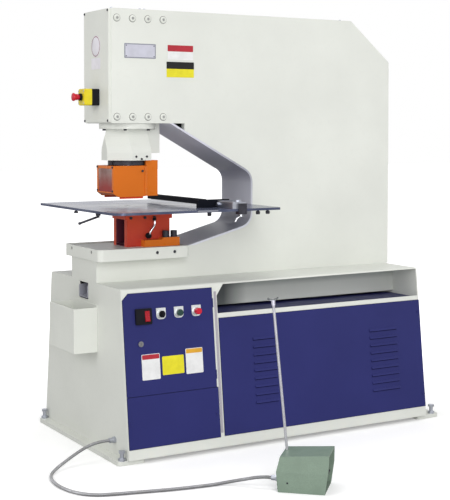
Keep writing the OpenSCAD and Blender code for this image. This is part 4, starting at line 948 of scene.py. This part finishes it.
# Each bolt under the table: its place, and its drop as a share of the profile's.
TABLE_BOLTS = ((0.569, -0.330, 1.0), (0.617, -0.330, 1.0), (0.412, -0.200, 1.5), (-0.100, 0.005, 0.6))

table_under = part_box("gauge_table")[0][2]
bolt = [(0, -0.0205), (0.0075, -0.02), (0.0088, -0.017), (0.0088, -0.008), (0.005, -0.006), (0.005, 0.0002)]
bm = bmesh.new()
for x, y, drop in TABLE_BOLTS:
    lathe(bm, [(r, z * drop if z < 0 else z) for r, z in bolt],
          axis_place((x, y, table_under), (0, 0, 1)), 24)
piece("table_underside_bolts", bm, M["dark_steel"])

field("table_scale", 0.250, 0.9612, 0.344, 0.9682, label_grey, 0.0008, 0.0004, TABLE_EDGE)


# --------------------------------------------------------- cabinet details

# A darker strip on the divider post: painted shade on its face, which turns from the light.
bm = bmesh.new()
plate(bm, rounded_points(0.3435, side_v(0.075), 0.3535, side_v(0.636), 0.0015), 0, 0.0016,
      SIDE @ Matrix.Translation((0, 0, 0.0002)), 0.0005)
piece("divider_shade_strip", bm, divider_shade_paint, smooth=30)

side_field("door_field_1", 0.005, 0.316, 0.084, 0.415, label_white)
side_field("door_field_1_band", 0.007, 0.395, 0.082, 0.413, label_red, 0.0009)
side_field("door_field_2", 0.094, 0.328, 0.190, 0.400, label_yellow)
side_field("door_field_3", 0.199, 0.322, 0.276, 0.421, label_white)
side_field("door_field_3_band", 0.201, 0.402, 0.274, 0.419, label_amber, 0.0009)


# -------------------------------------------------------------- foot switch

bm = bmesh.new()
for at in ((-0.0022, 0.010, 0.026), (-0.0008, 0.010, 0.012)):
    pan_screw(bm, PEDAL @ axis_place(at, (-1, 0, 0.1)), 0.005)
piece("hood_screws", bm, M["dark_steel"])


# ------------------------------------------------------------------ staging

FLOOR_REACH = 30
FLOOR_GLOW = 0.26
WORLD_LIGHT = 0.42


def floor_material():
    """Pale, and to the camera it runs out to white; the light that bounces off it stays plain."""
    n = Nodes("floor")
    n.colour(n.mix((0.62, 0.62, 0.62), (0.64, 0.64, 0.64), n.noise(7, 3)))
    n.set(rough=0.9, spec=0.1)
    away = n.add("ShaderNodeVectorMath", operation="DISTANCE")
    n.link(n.coords, away.inputs[0])
    away.inputs[1].default_value = (0.5, -0.5, 0)
    lit = n.add("ShaderNodeEmission")
    n.link(n.ramp(away.outputs["Value"], 1.0, 2.2, FLOOR_GLOW, 1.0), lit.inputs[1])
    bright = n.add("ShaderNodeBsdfDiffuse")
    bright.inputs[0].default_value = (0.9, 0.9, 0.9, 1)
    both = n.add("ShaderNodeAddShader")
    n.link(bright.outputs[0], both.inputs[0])
    n.link(lit.outputs[0], both.inputs[1])
    pick = n.add("ShaderNodeMixShader")
    n.link(n.add("ShaderNodeLightPath").outputs["Is Camera Ray"], pick.inputs[0])
    n.link(n.bsdf.outputs[0], pick.inputs[1])
    n.link(both.outputs[0], pick.inputs[2])
    n.link(pick.outputs[0], n.out.inputs[0])
    return n.material


bm = bmesh.new()
for x, y in ((-1, -1), (1, -1), (1, 1), (-1, 1)):
    bm.verts.new((x * FLOOR_REACH, y * FLOOR_REACH, -0.0005))
bm.faces.new(bm.verts)
floor = finish_mesh("floor", bm, floor_material())


def pale_world():
    """White where the camera, a reflection or the window sees it, and a weaker light elsewhere."""
    world = bpy.data.worlds.new("world")
    world.use_nodes = True
    tree = world.node_tree
    tree.nodes.clear()
    ray = tree.nodes.new("ShaderNodeLightPath").outputs
    seen = ray["Is Camera Ray"]
    for kind in ("Is Glossy Ray", "Is Transmission Ray"):
        either = tree.nodes.new("ShaderNodeMath")
        either.operation = "MAXIMUM"
        tree.links.new(seen, either.inputs[0])
        tree.links.new(ray[kind], either.inputs[1])
        seen = either.outputs[0]
    mixer = tree.nodes.new("ShaderNodeMixShader")
    tree.links.new(seen, mixer.inputs[0])
    for strength, socket in ((WORLD_LIGHT, mixer.inputs[1]), (1.0, mixer.inputs[2])):
        sky = tree.nodes.new("ShaderNodeBackground")
        sky.inputs[0].default_value = (1, 1, 1, 1)
        sky.inputs[1].default_value = strength
        tree.links.new(sky.outputs[0], socket)
    out = tree.nodes.new("ShaderNodeOutputWorld")
    tree.links.new(mixer.outputs[0], out.inputs[0])
    return world


bpy.context.scene.world = pale_world()


def area(name, at, aim, size, power):
    """A rectangular light at a place, turned to its aim."""
    data = bpy.data.lights.new(name, "AREA")
    data.shape = "RECTANGLE"
    data.size, data.size_y = size
    data.energy = power
    obj = bpy.data.objects.new(name, data)
    obj.location = at
    obj.rotation_mode = "QUATERNION"
    obj.rotation_quaternion = (Vector(aim) - Vector(at)).to_track_quat("-Z", "Y")
    bpy.context.scene.collection.objects.link(obj)


area("key", (-0.6, -4.4, 3.0), (0.6, 0, 0.8), (2.4, 2.4), 70)
area("front", (-1.4, -4.8, 1.1), (0.6, 0, 0.8), (2.4, 1.6), 56)
area("side", (-4.0, -0.6, 2.3), (0.3, 0, 1.0), (2.2, 2.2), 50)
area("top", (0.7, 0.2, 4.2), (0.7, 0, 0.5), (3.0, 2.0), 50)
area("right", (4.0, -3.0, 1.8), (0.8, 0, 0.8), (2.0, 2.0), 28)

bpy.context.scene.view_settings.view_transform = "Standard"
